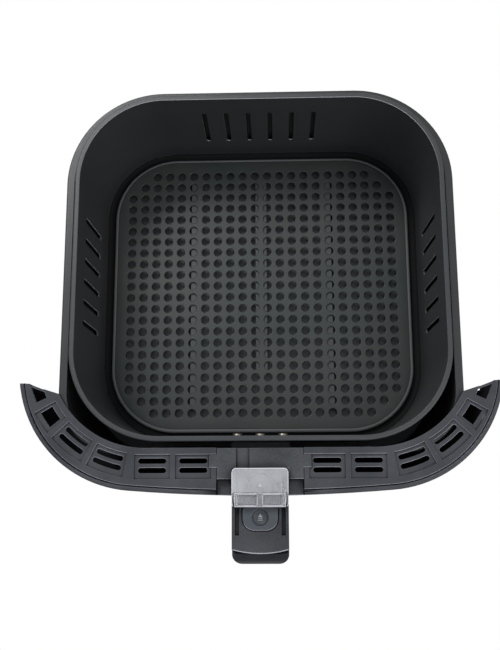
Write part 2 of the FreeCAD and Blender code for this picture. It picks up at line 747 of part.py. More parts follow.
def build_vent_frame():
    """Crescent frame: plate with recessed vent cells, outer and inner skirts, screw bosses."""
    body = new_body("vent_frame")
    outer = "(panel_wall + panel_gap)"
    plate = outline(plan(body, FRAME_UNDER_Z), *crescent(outer, CORNER_X, CORNER_Y, "frame_corner"))
    pad(body, plate, "frame_plate")
    points, arcs = cover_edge(outer)
    back_points, back_arcs = cover_edge(f"({outer} + skirt_wall)")
    skirt_arcs = band_arcs(arcs, back_arcs)
    skirt = outline(plan(body, FRAME_UNDER_Z), points + back_points[::-1], skirt_arcs)
    pad(body, skirt, "frame_skirt", back=True)
    web = plan(body, FRAME_UNDER_Z)
    rectangle(web, "base_width/2 + tab_reach", "pan_screw_x + 2*boss_radius",
              f"-{INNER_SKIRT_Y} - skirt_wall", f"-{INNER_SKIRT_Y}")
    inner_skirt = pad(body, web, "inner_skirt", back=True)
    wall = f"({PAN_FRONT} + pan_sheet + seat_gap - pan_lean*pan_screw_drop/({PAN_RIM_Z} - pan_sheet))"
    boss = circle(elevation(body, wall), "pan_screw_x", PAN_SCREW_Z, "boss_radius")
    boss_pad = pad(body, boss, f"{INNER_SKIRT_Y} + skirt_wall - {wall}")
    bore = circle(elevation(body, wall), "pan_screw_x", PAN_SCREW_Z, SHANK_HOLE)
    bore_cut = pocket(body, bore, f"{INNER_SKIRT_Y} + skirt_wall - {wall}", back=True)
    cells = plan(body, FRAME_Z)
    near = f"-{FRAME_Y} - cell_margin"
    for number in range(2):
        middle = f"front_cell + {number}*front_cell_pitch"
        ends = (f"{middle} - cell_length/2", f"{middle} + cell_length/2")
        rectangle(cells, *ends, f"{near} - cell_width", near)
        corner_sector(cells, "(frame_corner + cell_margin)", "(frame_corner + cell_margin + cell_width)",
                      f"(corner_cell + {number}*corner_cell_pitch)", "corner_cell_half")
    corner_sector(cells, "(frame_corner + cell_margin)", "(frame_corner + cell_margin + cell_width)",
                  "port_angle", "port_cell_half")
    cell_cut = pocket(body, cells, "cell_depth")
    vents = plan(body, FRAME_Z)
    for number in range(2):
        for line in range(2):
            depth = f"(vent_row + {line}*vent_row_pitch)"
            middle = f"front_cell + {number}*front_cell_pitch"
            level_slot(vents, middle, f"-{FRAME_Y} - {depth}", "vent_length", "vent_width")
            corner_slot(vents, f"(frame_corner + {depth})", f"(corner_cell + {number}*corner_cell_pitch)")
    vent_cut = pocket(body, vents, "frame_plate")
    ports = plan(body, FRAME_Z)
    middle = "frame_corner + cell_margin + cell_width/2"
    for angle, half, width in (("port_angle", "port_half", "port_width"),
                               ("tip_port_angle", "tip_port_half", "tip_port_width")):
        corner_sector(ports, f"({middle} - {width}/2)", f"({middle} + {width}/2)", angle, half)
    port_cut = pocket(body, ports, "frame_plate")
    seat = plan(body, FRAME_Z)
    rectangle(seat, "base_width/2", "base_width/2 + tab_reach + part_gap",
              f"-{FRAME_Y} - tab_setback - tab_depth - part_gap", f"-{FRAME_Y} - tab_setback + part_gap")
    seat_cut = pocket(body, seat, "tab_sheet + part_gap")
    mirror(body, [inner_skirt, boss_pad, bore_cut, cell_cut, vent_cut, port_cut, seat_cut])
    gap = rectangle(plan(body, FRAME_Z), "-base_width/2 - part_gap", "base_width/2 + part_gap",
                    f"-{COVER_Y}", f"-{FRAME_Y} + overrun")
    pocket(body, gap, f"{FRAME_Z} - {NOTCH_Z}")
    holes = elevation(body, f"{SKIRT_Y} - 2*skirt_wall")
    for side in SIDES:
        for place_x in PANEL_SCREW_PLACES:
            circle(holes, f"{side}{place_x}", PANEL_SCREW_Z, SHANK_HOLE)
        circle(holes, f"{side}keeper_screw_x", KEEPER_SCREW_Z, SHANK_HOLE)
    pocket(body, holes, "4*skirt_wall", back=True)
    return body


def build_front_panel():
    """Bowed outer panel that wraps the frame and closes it below, cut away for the handle's root."""
    body = new_body("front_panel")
    points, arcs = cover_edge("0")
    back_points, back_arcs = cover_edge("panel_wall")
    rounds = band_arcs(arcs, back_arcs)
    band = outline(plan(body, "panel_foot"), points + back_points[::-1], rounds)
    pad(body, band, f"{FRAME_Z} - panel_foot")
    fillet(body, "panel_edge", lambda edge: level_at(FRAME_Z)(edge) or level_at("panel_foot")(edge))
    round_pan = (f"({PAN_X} - pan_front_corner)", f"({PAN_FRONT} - pan_front_corner)",
                 "(pan_front_corner + pan_sheet + panel_gap)")
    floor = outline(plan(body, "panel_foot"), *crescent("panel_wall/2", *round_pan))
    pad(body, floor, "panel_floor")
    gap = rectangle(elevation(body, f"{COVER_Y} + overrun"), "-base_width/2 - part_gap",
                    "base_width/2 + part_gap", NOTCH_Z, f"{FRAME_Z} + overrun")
    pocket(body, gap, "panel_wall + 2")
    for place_x in PANEL_SCREW_PLACES:
        holes = elevation(body, f"{SKIRT_Y} - panel_wall")
        for side in SIDES:
            circle(holes, f"{side}{place_x}", PANEL_SCREW_Z, SHANK_HOLE)
        end = f"({COVER_Y} - {place_x}^2/(2*{COVER_BOW}) - panel_wall/2)"
        pocket(body, holes, f"{end} - {SKIRT_Y} + panel_wall", back=True)
    return body


def build_keeper():
    """Angle of sheet steel on the back of the frame, whose ledge the latch hooks under."""
    body = new_body("latch_keeper")
    back = f"-{SKIRT_Y} + seat_gap"
    front = f"{back} + keeper_sheet"
    tip = f"-{PIVOT_Y} - lever_leg/2 - tooth_reach - tooth_clear"
    points = [(back, f"{LEDGE_Z} - keeper_height"), (front, f"{LEDGE_Z} - keeper_height"),
              (front, f"{LEDGE_Z} - keeper_sheet"), (tip, f"{LEDGE_Z} - keeper_sheet"), (tip, LEDGE_Z),
              (back, LEDGE_Z)]
    pad(body, outline(profile(body), points), "keeper_width", both=True)
    holes = elevation(body, f"{SKIRT_Y} - seat_gap - keeper_sheet")
    for side in SIDES:
        circle(holes, f"{side}keeper_screw_x", KEEPER_SCREW_Z,
               SHANK_HOLE)
    pocket(body, holes, "keeper_sheet", back=True)
    return body


def build_bracket():
    """Steel angle riveted to the basket's front wall; its tongue crosses the pan and carries the handle."""
    body = new_body("handle_bracket")
    wall = f"-{BRACKET_Y}"
    face = f"-{BRACKET_Y} - bracket_sheet"
    tip = f"-{BRACKET_Y} - bracket_reach"
    low = f"{BASE_Z} - bracket_sheet"
    high = f"{low} + bracket_height"
    points = [(wall, low), (wall, high), (face, high), (face, BASE_Z), (tip, BASE_Z), (tip, low)]
    pad(body, outline(profile(body), points), "bracket_width", both=True)
    bend_y = value(wall)
    bend_z = value(low)
    fillet(body, "bracket_bend", lambda edge: abs(edge.BoundBox.YMax - bend_y) < 1e-3
           and edge.BoundBox.ZMax - bend_z < 1e-3 and edge.BoundBox.YLength < 1e-3)
    rivets = elevation(body, BRACKET_Y)
    for place_x in RIVET_PLACES:
        circle(rivets, place_x, RIVET_Z, "rivet_shank + screw_clear")
    pocket(body, rivets, "bracket_sheet", back=True)
    screws = plan(body, BASE_Z)
    for side in SIDES:
        circle(screws, f"{side}base_screw_x", f"-{BRACKET_Y} - base_screw_setback", SHANK_HOLE)
    pocket(body, screws, "bracket_sheet")
    return body


def build_handle_base():
    """Root block between the cover's wings: side tabs, seat for the handle's tail, slot for the latch."""
    body = new_body("handle_base")
    rear = f"-{FRAME_Y} - part_gap"
    block = rectangle(plan(body, BASE_Z), "-base_width/2", "base_width/2", f"-{SEAM_Y}", rear)
    pad(body, block, "base_height")
    tabs = rectangle(plan(body, FRAME_Z), "-base_width/2 - tab_reach", "base_width/2 + tab_reach",
                     f"-{FRAME_Y} - tab_setback - tab_depth", f"-{FRAME_Y} - tab_setback")
    pad(body, tabs, "tab_sheet", back=True)
    strip = rectangle(plan(body, FRAME_Z), "-strip_x - strip_width/2", "-strip_x + strip_width/2",
                      f"{rear} - strip_length", f"{rear} + overrun")
    pocket(body, strip, "strip_depth")
    seat = rectangle(plan(body, FRAME_Z), "-handle_width/2 - part_gap", "handle_width/2 + part_gap",
                     f"-{SEAM_Y} - overrun", f"-{TAIL_Y} + part_gap")
    pocket(body, seat, f"{FRAME_Z} - {PART_Z}")
    slot = rectangle(plan(body, PART_Z), "-lever_width/2 - lever_slot", "lever_width/2 + lever_slot",
                     f"-{SEAM_Y} - overrun", f"-{PIVOT_Y} + lever_boss + 2*lever_slot")
    pocket(body, slot, f"{PART_Z} - {BASE_Z}")
    pin = circle(profile(body), f"-{PIVOT_Y}", PIVOT_Z, "pin_radius + pin_fit")
    pocket(body, pin, "pin_length", both=True)
    screws = plan(body, BASE_Z)
    for side in SIDES:
        circle(screws, f"{side}base_screw_x", f"-{BRACKET_Y} - base_screw_setback", SHANK_HOLE)
    pocket(body, screws, "base_screw_length", back=True)
    roots = elevation(body, f"{FRAME_Y} + part_gap")
    heads = elevation(body, f"{FRAME_Y} + part_gap")
    for side in SIDES:
        circle(roots, f"{side}root_screw_x", ROOT_SCREW_Z, SHANK_HOLE)
        circle(heads, f"{side}root_screw_x", ROOT_SCREW_Z, HEAD_HOLE)
    pocket(body, roots, f"{SEAM_Y} - {FRAME_Y}", back=True)
    pocket(body, heads, f"{SEAM_Y} - {FRAME_Y} - root_screw_length/2", back=True)
    return body


def bowed_front(half_x, gap):
    """Y of the handle's bowed front crease at a half width, moved forwards by a gap."""
    return f"crease_bow - {CREASE_Y} - sqrt((crease_bow + {gap})^2 - ({half_x})^2)"


def button_plan(sketch, grow):
    """Outline of the button, straight at the sides and round in front, made wider all round."""
    half_x, half_y = f"(button_width/2 + {grow})", f"(button_length/2 + {grow})"
    middle = f"-{BUTTON_Y} - button_length/2"
    return rounded(sketch, half_x, half_y, f"button_corner + {grow}", middle, f"button_front + {grow}")


def build_handle_upper():
    """Top shell of the handle: button well, guard grooves and a bowed front crease."""
    body = new_body("handle_upper")
    side_x = "handle_width/2"
    front = bowed_front(side_x, "0")
    points = [(f"-{side_x}", f"-{TAIL_Y}"), (f"-{side_x}", front), (side_x, front), (side_x, f"-{TAIL_Y}")]
    shell = outline(plan(body, PART_Z), points, {1: ("crease_bow", 1)})
    pad(body, shell, "upper_height")
    foremost = value(f"-{CREASE_Y}")
    on_top = level_at(HANDLE_Z)
    fillet(body, "crease_round", lambda edge: on_top(edge) and abs(edge.BoundBox.YMin - foremost) < 1e-3)
    pocket(body, button_plan(plan(body, HANDLE_Z), "button_gap"), "upper_plate")
    cavity = button_plan(plan(body, PART_Z), "button_flange + button_gap")
    pocket(body, cavity, "upper_height - upper_plate", back=True)
    grooves = plan(body, HANDLE_Z)
    half = "(rail_width/2 + rail_clear)"
    near = f"-{GUARD_Y} - rail_inset + part_gap"
    far = f"-{GUARD_END_Y} + rail_inset - guard_travel - part_gap"
    for side in SIDES:
        rectangle(grooves, f"{side}rail_x - {half}", f"{side}rail_x + {half}", far, near)
    pocket(body, grooves, "rail_depth")
    screws = plan(body, PART_Z)
    for spot in handle_screw_spots():
        circle(screws, *spot, SHANK_HOLE)
    pocket(body, screws, "upper_height - upper_plate", back=True)
    return body


def handle_screw_spots():
    """Where the screws that close the handle stand, two in the root and one behind the nose."""
    root = f"-{SEAM_Y} - root_depth/2"
    return (("-handle_screw_x", root), ("handle_screw_x", root), ("0", f"-{CREASE_Y} + nose_screw_setback"))


def build_handle_lower():
    """Bottom shell: wide root block, grip with a swept nose, hollow for the latch and a spring post."""
    body = new_body("handle_lower")
    rear = f"-{SEAM_Y} - part_gap"
    face = f"-{COVER_Y} + panel_gap"
    root = rectangle(plan(body, ROOT_Z), "-base_width/2", "base_width/2", face, rear)
    pad(body, root, f"{PART_Z} - {ROOT_Z}")
    nose = f"-{CREASE_Y} - part_gap"
    crown = f"{PART_Z} + upper_height/2"
    belly = f"{ROOT_Z} + shell_wall"
    tip = f"-{NOSE_Y}"
    corner_y = f"{tip} + nose_round"
    side_x = "handle_width/2"
    corner_x = "(handle_width/2 - nose_round)"
    points = [(f"-{side_x}", rear), (f"-{side_x}", corner_y), (f"-{corner_x}", tip), (corner_x, tip),
              (side_x, corner_y), (side_x, rear)]
    grip = outline(plan(body, belly), points, {1: ("nose_round", 1), 3: ("nose_round", 1)})
    pad(body, grip, f"{crown} - ({belly})")
    past_x = f"({side_x} + overrun)"
    front = bowed_front(past_x, "part_gap")
    back = f"{rear} + overrun"
    points = [(f"-{past_x}", back), (f"-{past_x}", front), (past_x, front), (past_x, back)]
    top = outline(plan(body, crown), points, {1: ("crease_bow + part_gap", 1)})
    pocket(body, top, "upper_height/2")
    chin = f"{tip} + nose_top"
    past_tip, past_root = f"{tip} - overrun", f"{ROOT_Z} - overrun"
    points = [(face, belly), (chin, f"{belly} + shell_wall"), (tip, f"{PART_Z} - shell_wall"),
              (nose, crown), (past_tip, crown), (past_tip, past_root), (face, past_root)]
    trim = outline(profile(body), points,
                   {1: ("nose_top + nose_depth", -1), 2: ("nose_top + shell_wall", -1)})
    pocket(body, trim, "2*handle_width", both=True)
    hollow = rectangle(plan(body, PART_Z), "-handle_width/2 + shell_wall",
                       "handle_width/2 - shell_wall", f"-{CREASE_Y} + 2*nose_screw_setback - shell_wall",
                       f"-{COVER_Y} - shell_wall")
    pocket(body, hollow, f"{PART_Z} - {ROOT_Z} - 3*shell_wall")
    channel = rectangle(plan(body, PART_Z), "-lever_width/2 - lever_slot",
                        "lever_width/2 + lever_slot", f"-{COVER_Y} - 2*shell_wall", f"{rear} + overrun")
    pocket(body, channel, f"{PART_Z} - {PIVOT_Z} + lever_arm/2 + button_travel")
    post = circle(plan(body, f"{ROOT_Z} + 2*shell_wall"), "0", f"-{SPRING_Y}", "post_radius")
    pad(body, post, f"{PART_Z} - {ROOT_Z} - 2*shell_wall - part_gap")
    through = plan(body, ROOT_Z)
    heads = plan(body, ROOT_Z)
    for spot in handle_screw_spots():
        circle(through, *spot, SHANK_HOLE)
        circle(heads, *spot, HEAD_HOLE)
    pocket(body, through, f"{PART_Z} - {ROOT_Z}", back=True)
    pocket(body, heads, "3*shell_wall", back=True)
    roots = elevation(body, SEAM_Y)
    for side in SIDES:
        circle(roots, f"{side}root_screw_x", ROOT_SCREW_Z, SHANK_HOLE)
    pocket(body, roots, "root_screw_length/2", back=True)
    return body


def build_button():
    """Push button: crowned cap with a finger dimple, retaining flange, stem and spring nub."""
    body = new_body("release_button")
    middle = f"-{BUTTON_Y} - button_length/2"
    cap = button_plan(plan(body, FLANGE_Z), "0")
    pad(body, cap, f"{HANDLE_Z} + button_proud - {FLANGE_Z}")
    fillet(body, "button_gap", level_at(f"{HANDLE_Z} + button_proud"))
    pad(body, button_plan(plan(body, FLANGE_Z), "button_flange"), "flange_sheet")
    dimple = circle(plan(body, f"{HANDLE_Z} + button_proud"), "0", middle, "dimple_radius")
    pocket(body, dimple, "dimple_depth")
    stem = rectangle(plan(body, FLANGE_Z), "-stem_width/2", "stem_width/2",
                     f"-{STEM_Y} - stem_depth/2", f"-{STEM_Y} + stem_depth/2")
    pad(body, stem, f"{FLANGE_Z} - {LEVER_TOP_Z} - lever_touch", back=True)
    nub = circle(plan(body, FLANGE_Z), "0", f"-{SPRING_Y}", "spring_radius - 2*spring_wire")
    pad(body, nub, "flange_sheet", back=True)
    return body


def build_spring():
    """Helical spring between the handle's post and the button."""
    helix = doc.addObject("Part::Helix", "spring_path")
    low = f"{PART_Z} - part_gap + spring_wire/2 + seat_gap/3"
    high = f"{FLANGE_Z} - spring_wire/2 - seat_gap/3"
    helix.setExpression("Radius", bound("spring_radius"))
    helix.setExpression("Height", bound(f"{high} - ({low})"))
    helix.setExpression("Pitch", bound(f"({high} - ({low}))/spring_turns"))
    wire = doc.addObject("Part::RegularPolygon", "spring_section")
    wire.Polygon = 4
    wire.setExpression("Circumradius", bound("spring_wire/2"))
    wire.setExpression("Placement.Base.x", bound("spring_radius"))
    wire.Placement.Rotation = Rotation(Vector(1, 0, 0), 90)
    spring = doc.addObject("Part::Sweep", "button_spring")
    spring.Sections = [wire]
    spring.Spine = (helix, [])
    spring.Solid = True
    spring.Frenet = True
    spring.setExpression("Placement.Base.y", bound(f"{CENTRE_Y} - {SPRING_Y}"))
    spring.setExpression("Placement.Base.z", bound(low))
    return spring


def build_lever():
    """Bell crank: the front arm lies under the button, the leg carries the latch tooth."""
    body = new_body("latch_lever")
    rear = f"-{PIVOT_Y} + lever_leg/2"
    front = f"-{PIVOT_Y} - lever_leg/2"
    tip = f"{front} - tooth_reach"
    end = f"-{STEM_Y} - stem_depth"
    low = f"{TOOTH_Z} - tooth_height"
    points = [(front, low), (rear, low), (rear, LEVER_TOP_Z), (end, LEVER_TOP_Z),
              (end, f"{LEVER_TOP_Z} - lever_arm"), (front, f"{LEVER_TOP_Z} - lever_arm"), (front, TOOTH_Z),
              (tip, TOOTH_Z), (tip, f"{TOOTH_Z} - tooth_height/3")]
    pad(body, outline(profile(body), points), "lever_width", both=True)
    boss = circle(profile(body), f"-{PIVOT_Y}", PIVOT_Z, "lever_boss")
    pad(body, boss, "lever_width", both=True)
    bore = circle(profile(body), f"-{PIVOT_Y}", PIVOT_Z, "pin_radius + pivot_fit")
    pocket(body, bore, "2*lever_width", both=True)
    return body


def build_guard():
    """Clear sliding guard: plate with a finger grip, carried by two rails in the handle's grooves."""
    body = new_body("slide_guard")
    under = f"{HANDLE_Z} + button_proud + guard_clear"
    middle = f"-{GUARD_Y} - guard_length/2"
    plate = rounded(plan(body, under), "guard_width/2", "guard_length/2", "guard_corner", middle)
    pad(body, plate, "guard_plate")
    grip = rounded(plan(body, f"{under} + guard_plate"), "(guard_width/2 - guard_plate)",
                   "guard_grip/2", "guard_corner", f"-{GUARD_END_Y} + guard_grip/2")
    pad(body, grip, "guard_grip_height")
    wells = plan(body, f"{under} + guard_plate + guard_grip_height")
    for side in SIDES:
        well = f"{side}(guard_grip_pocket/2 + guard_plate)"
        rectangle(wells, f"{well} - guard_grip_pocket/2", f"{well} + guard_grip_pocket/2",
                  f"-{GUARD_END_Y} + guard_plate/2", f"-{GUARD_END_Y} + guard_grip - guard_plate/2")
    pocket(body, wells, "guard_grip_height")
    rails = plan(body, under)
    for side in SIDES:
        rectangle(rails, f"{side}rail_x - rail_width/2", f"{side}rail_x + rail_width/2",
                  f"-{GUARD_END_Y} + rail_inset", f"-{GUARD_Y} - rail_inset")
    pad(body, rails, "button_proud + guard_clear + rail_depth - rail_clear", back=True)
    return body


def build_fasteners():
    """Screws, rivets and the latch pin, as groups of equal pieces."""
    head = ("screw_head", "screw_head_height")
    forward, up = (0, -1, 0), (0, 0, 1)
    turn_in = f"max(0; pan_screw_x + screw_head - {PAN_X} + pan_front_corner)^2/(2*pan_front_corner)"
    lean_in = f"pan_lean*(pan_screw_drop + screw_head)/({PAN_RIM_Z} - pan_sheet)"
    wall = f"({PAN_FRONT} - {lean_in} - {turn_in})"
    spots = [(f"{side}pan_screw_x", f"-{wall} + screw_clear", PAN_SCREW_Z) for side in SIDES]
    shank = ("screw_shank", f"{INNER_SKIRT_Y} + skirt_wall - {wall}")
    groups = [fasteners("pan_screws", spots, forward, head, shank, "rivet_sides")]

    spots = []
    for side in SIDES:
        for place_x in PANEL_SCREW_PLACES:
            sag = f"({place_x} + screw_head)^2/(2*{COVER_BOW})"
            spots.append((f"{side}{place_x}", f"-{SKIRT_Y} + {sag} + 2*screw_clear", PANEL_SCREW_Z))
    shank = ("screw_shank", "skirt_wall + panel_gap + panel_wall/3")
    groups.append(fasteners("panel_screws", spots, forward, head, shank))

    face = f"-{SKIRT_Y} + seat_gap + keeper_sheet"
    spots = [(f"{side}keeper_screw_x", face, KEEPER_SCREW_Z) for side in SIDES]
    shank = ("screw_shank", "keeper_sheet + skirt_wall")
    groups.append(fasteners("keeper_screws", spots, forward, head, shank))

    wall = f"({WALL_Y} - wall_lean*(rivet_drop + rivet_head)/({RIM_Z} - {GROOVE_Z}))"
    spots = [(place_x, f"-{wall} + screw_clear", RIVET_Z) for place_x in RIVET_PLACES]
    shank = ("rivet_shank", f"{BRACKET_Y} + bracket_sheet + rivet_shank - {wall}")
    rivet = ("rivet_head", "rivet_shank")
    groups.append(fasteners("bracket_rivets", spots, forward, rivet, shank, "rivet_sides"))

    middle = f"-{BRACKET_Y} - base_screw_setback"
    spots = [(f"{side}base_screw_x", middle, f"{BASE_Z} - bracket_sheet") for side in SIDES]
    groups.append(fasteners("base_screws", spots, up, head, ("screw_shank", "base_screw_length")))

    seat = f"-{SEAM_Y} + root_screw_length/2"
    spots = [(f"{side}root_screw_x", seat, ROOT_SCREW_Z) for side in SIDES]
    shank = ("screw_shank", "root_screw_length - part_gap")
    groups.append(fasteners("root_screws", spots, forward, head, shank))

    spots = [(x, y, f"{ROOT_Z} + 3*shell_wall") for x, y in handle_screw_spots()]
    grip = "upper_height - upper_plate - screw_head_height"
    shank = ("screw_shank", f"{PART_Z} - {ROOT_Z} - 3*shell_wall + {grip}")
    groups.append(fasteners("handle_screws", spots, up, head, shank))
    pin = doc.addObject("Part::Cylinder", "latch_pin")
    pin.setExpression("Radius", bound("pin_radius"))
    pin.setExpression("Height", bound("pin_length"))
    aim(pin, ("-pin_length/2", f"{CENTRE_Y} - {PIVOT_Y}", PIVOT_Z), (1, 0, 0))
    return groups + [pin]


def main():
    """Build every piece, test it and write one file for each."""
    pieces = [build_pan(), build_basket(), build_basket_floor(), build_vent_frame(), build_front_panel(),
              build_keeper(), build_bracket(), build_handle_base(), build_handle_upper(),
              build_handle_lower(), build_button(), build_spring(), build_lever(), build_guard(),
              *build_fasteners()]
    doc.recompute()
    for item in doc.Objects:
        if {"Invalid", "Error"} & set(item.State):
            raise ValueError(f"{item.Name} failed: {item.State}")
    os.makedirs("parts", exist_ok=True)
    for piece in pieces:
        shape = piece.Shape
        if shape.isNull() or not shape.isValid() or not shape.Solids:
            raise ValueError(f"{piece.Label} has no valid solid")
        shape.exportStep(os.path.join("parts", f"{piece.Label}.step"))
        print(f"{piece.Label}: {len(shape.Solids)} solid(s), {shape.Volume:.0f} cubic millimetres")


main()
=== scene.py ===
"""Looks of an air fryer's pull-out drawer: coated pan and basket, moulded cover and handle, clear guard."""
import logging
import math
from contextlib import contextmanager
from dataclasses import dataclass
from enum import Enum
from typing import Any, Callable, Iterator

import bpy
from mathutils import Matrix, Vector


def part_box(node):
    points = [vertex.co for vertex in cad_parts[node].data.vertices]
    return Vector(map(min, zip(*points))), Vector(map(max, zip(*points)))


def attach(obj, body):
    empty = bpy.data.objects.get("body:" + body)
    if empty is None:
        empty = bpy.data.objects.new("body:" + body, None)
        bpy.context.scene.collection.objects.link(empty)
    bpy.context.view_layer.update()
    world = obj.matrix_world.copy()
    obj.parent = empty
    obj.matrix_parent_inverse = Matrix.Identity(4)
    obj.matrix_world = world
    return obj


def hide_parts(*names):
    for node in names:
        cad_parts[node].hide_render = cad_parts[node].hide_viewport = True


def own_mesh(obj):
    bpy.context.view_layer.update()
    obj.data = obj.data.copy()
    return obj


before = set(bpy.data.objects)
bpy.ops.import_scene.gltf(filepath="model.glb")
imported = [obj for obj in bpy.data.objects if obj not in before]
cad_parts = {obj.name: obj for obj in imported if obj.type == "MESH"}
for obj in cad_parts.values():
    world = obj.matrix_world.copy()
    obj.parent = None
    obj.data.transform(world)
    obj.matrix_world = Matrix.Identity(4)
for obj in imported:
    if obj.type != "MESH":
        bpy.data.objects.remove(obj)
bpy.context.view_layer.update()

log = logging.getLogger("drawer")
# Sizes in the classes are in millimetres unless they say otherwise. MM turns them into metres.
MM = 0.001
# Reach of a weld, then the play in tests of a place and of a height that is exact, in metres.
WELD = 0.002 * MM
SLACK = 0.02 * MM
LEVEL = 1e-6
# Least upward part of the normal of a face that counts as flat.
FLAT = 0.999
# Largest angle in degrees between faces that are merged into one.
SAME_FACE = 0.6
FRONT = (0.0, -1.0, 0.0)
UP = (0.0, 0.0, 1.0)
SIDES = (-1.0, 1.0)
WHITE = (1.0, 1.0, 1.0, 1.0)

Pair = tuple[float, float]
Triple = tuple[float, float, float]
Colour = Triple
Piece = bpy.types.Object
Material = bpy.types.Material
Test = Callable[[Any], bool]


class Body(str, Enum):
    """Rigid groups of the drawer."""

    PAN = "pan"
    BASKET = "basket"
    BUTTON = "button"
    LATCH = "latch"
    GUARD = "guard"


class Slot(str, Enum):
    """Material slots of the record."""

    PAN_COAT = "pan_coat"
    BASKET_COAT = "basket_coat"
    FRAME = "frame_plastic"
    HANDLE = "handle_plastic"
    BUTTON = "button_plastic"
    LATCH = "latch_plastic"
    GUARD = "clear_guard"
    STEEL = "bare_steel"


class Value:
    """Shader socket whose Python operators add Math nodes."""

    def __init__(self, graph: "Graph", socket: bpy.types.NodeSocket) -> None:
        """Wrap a socket of a graph."""
        self.graph = graph
        self.socket = socket

    def _math(self, operation: str, first: Any, second: Any) -> "Value":
        """Math node on two numbers or values."""
        return self.graph.node("ShaderNodeMath", {"operation": operation}, {0: first, 1: second})

    def __add__(self, other: Any) -> "Value":
        """Sum."""
        return self._math("ADD", self, other)

    def __radd__(self, other: Any) -> "Value":
        """Sum with a number first."""
        return self._math("ADD", other, self)

    def __sub__(self, other: Any) -> "Value":
        """Difference."""
        return self._math("SUBTRACT", self, other)

    def __rsub__(self, other: Any) -> "Value":
        """Difference with a number first."""
        return self._math("SUBTRACT", other, self)

    def __mul__(self, other: Any) -> "Value":
        """Product."""
        return self._math("MULTIPLY", self, other)

    def __rmul__(self, other: Any) -> "Value":
        """Product with a number first."""
        return self._math("MULTIPLY", other, self)

    def __or__(self, other: Any) -> "Value":
        """Greater of the two."""
        return self._math("MAXIMUM", self, other)

    def span(self, low: float, high: float) -> "Value":
        """Stretch a mask so that its 0 and 1 become two other levels."""
        return self * (high - low) + low


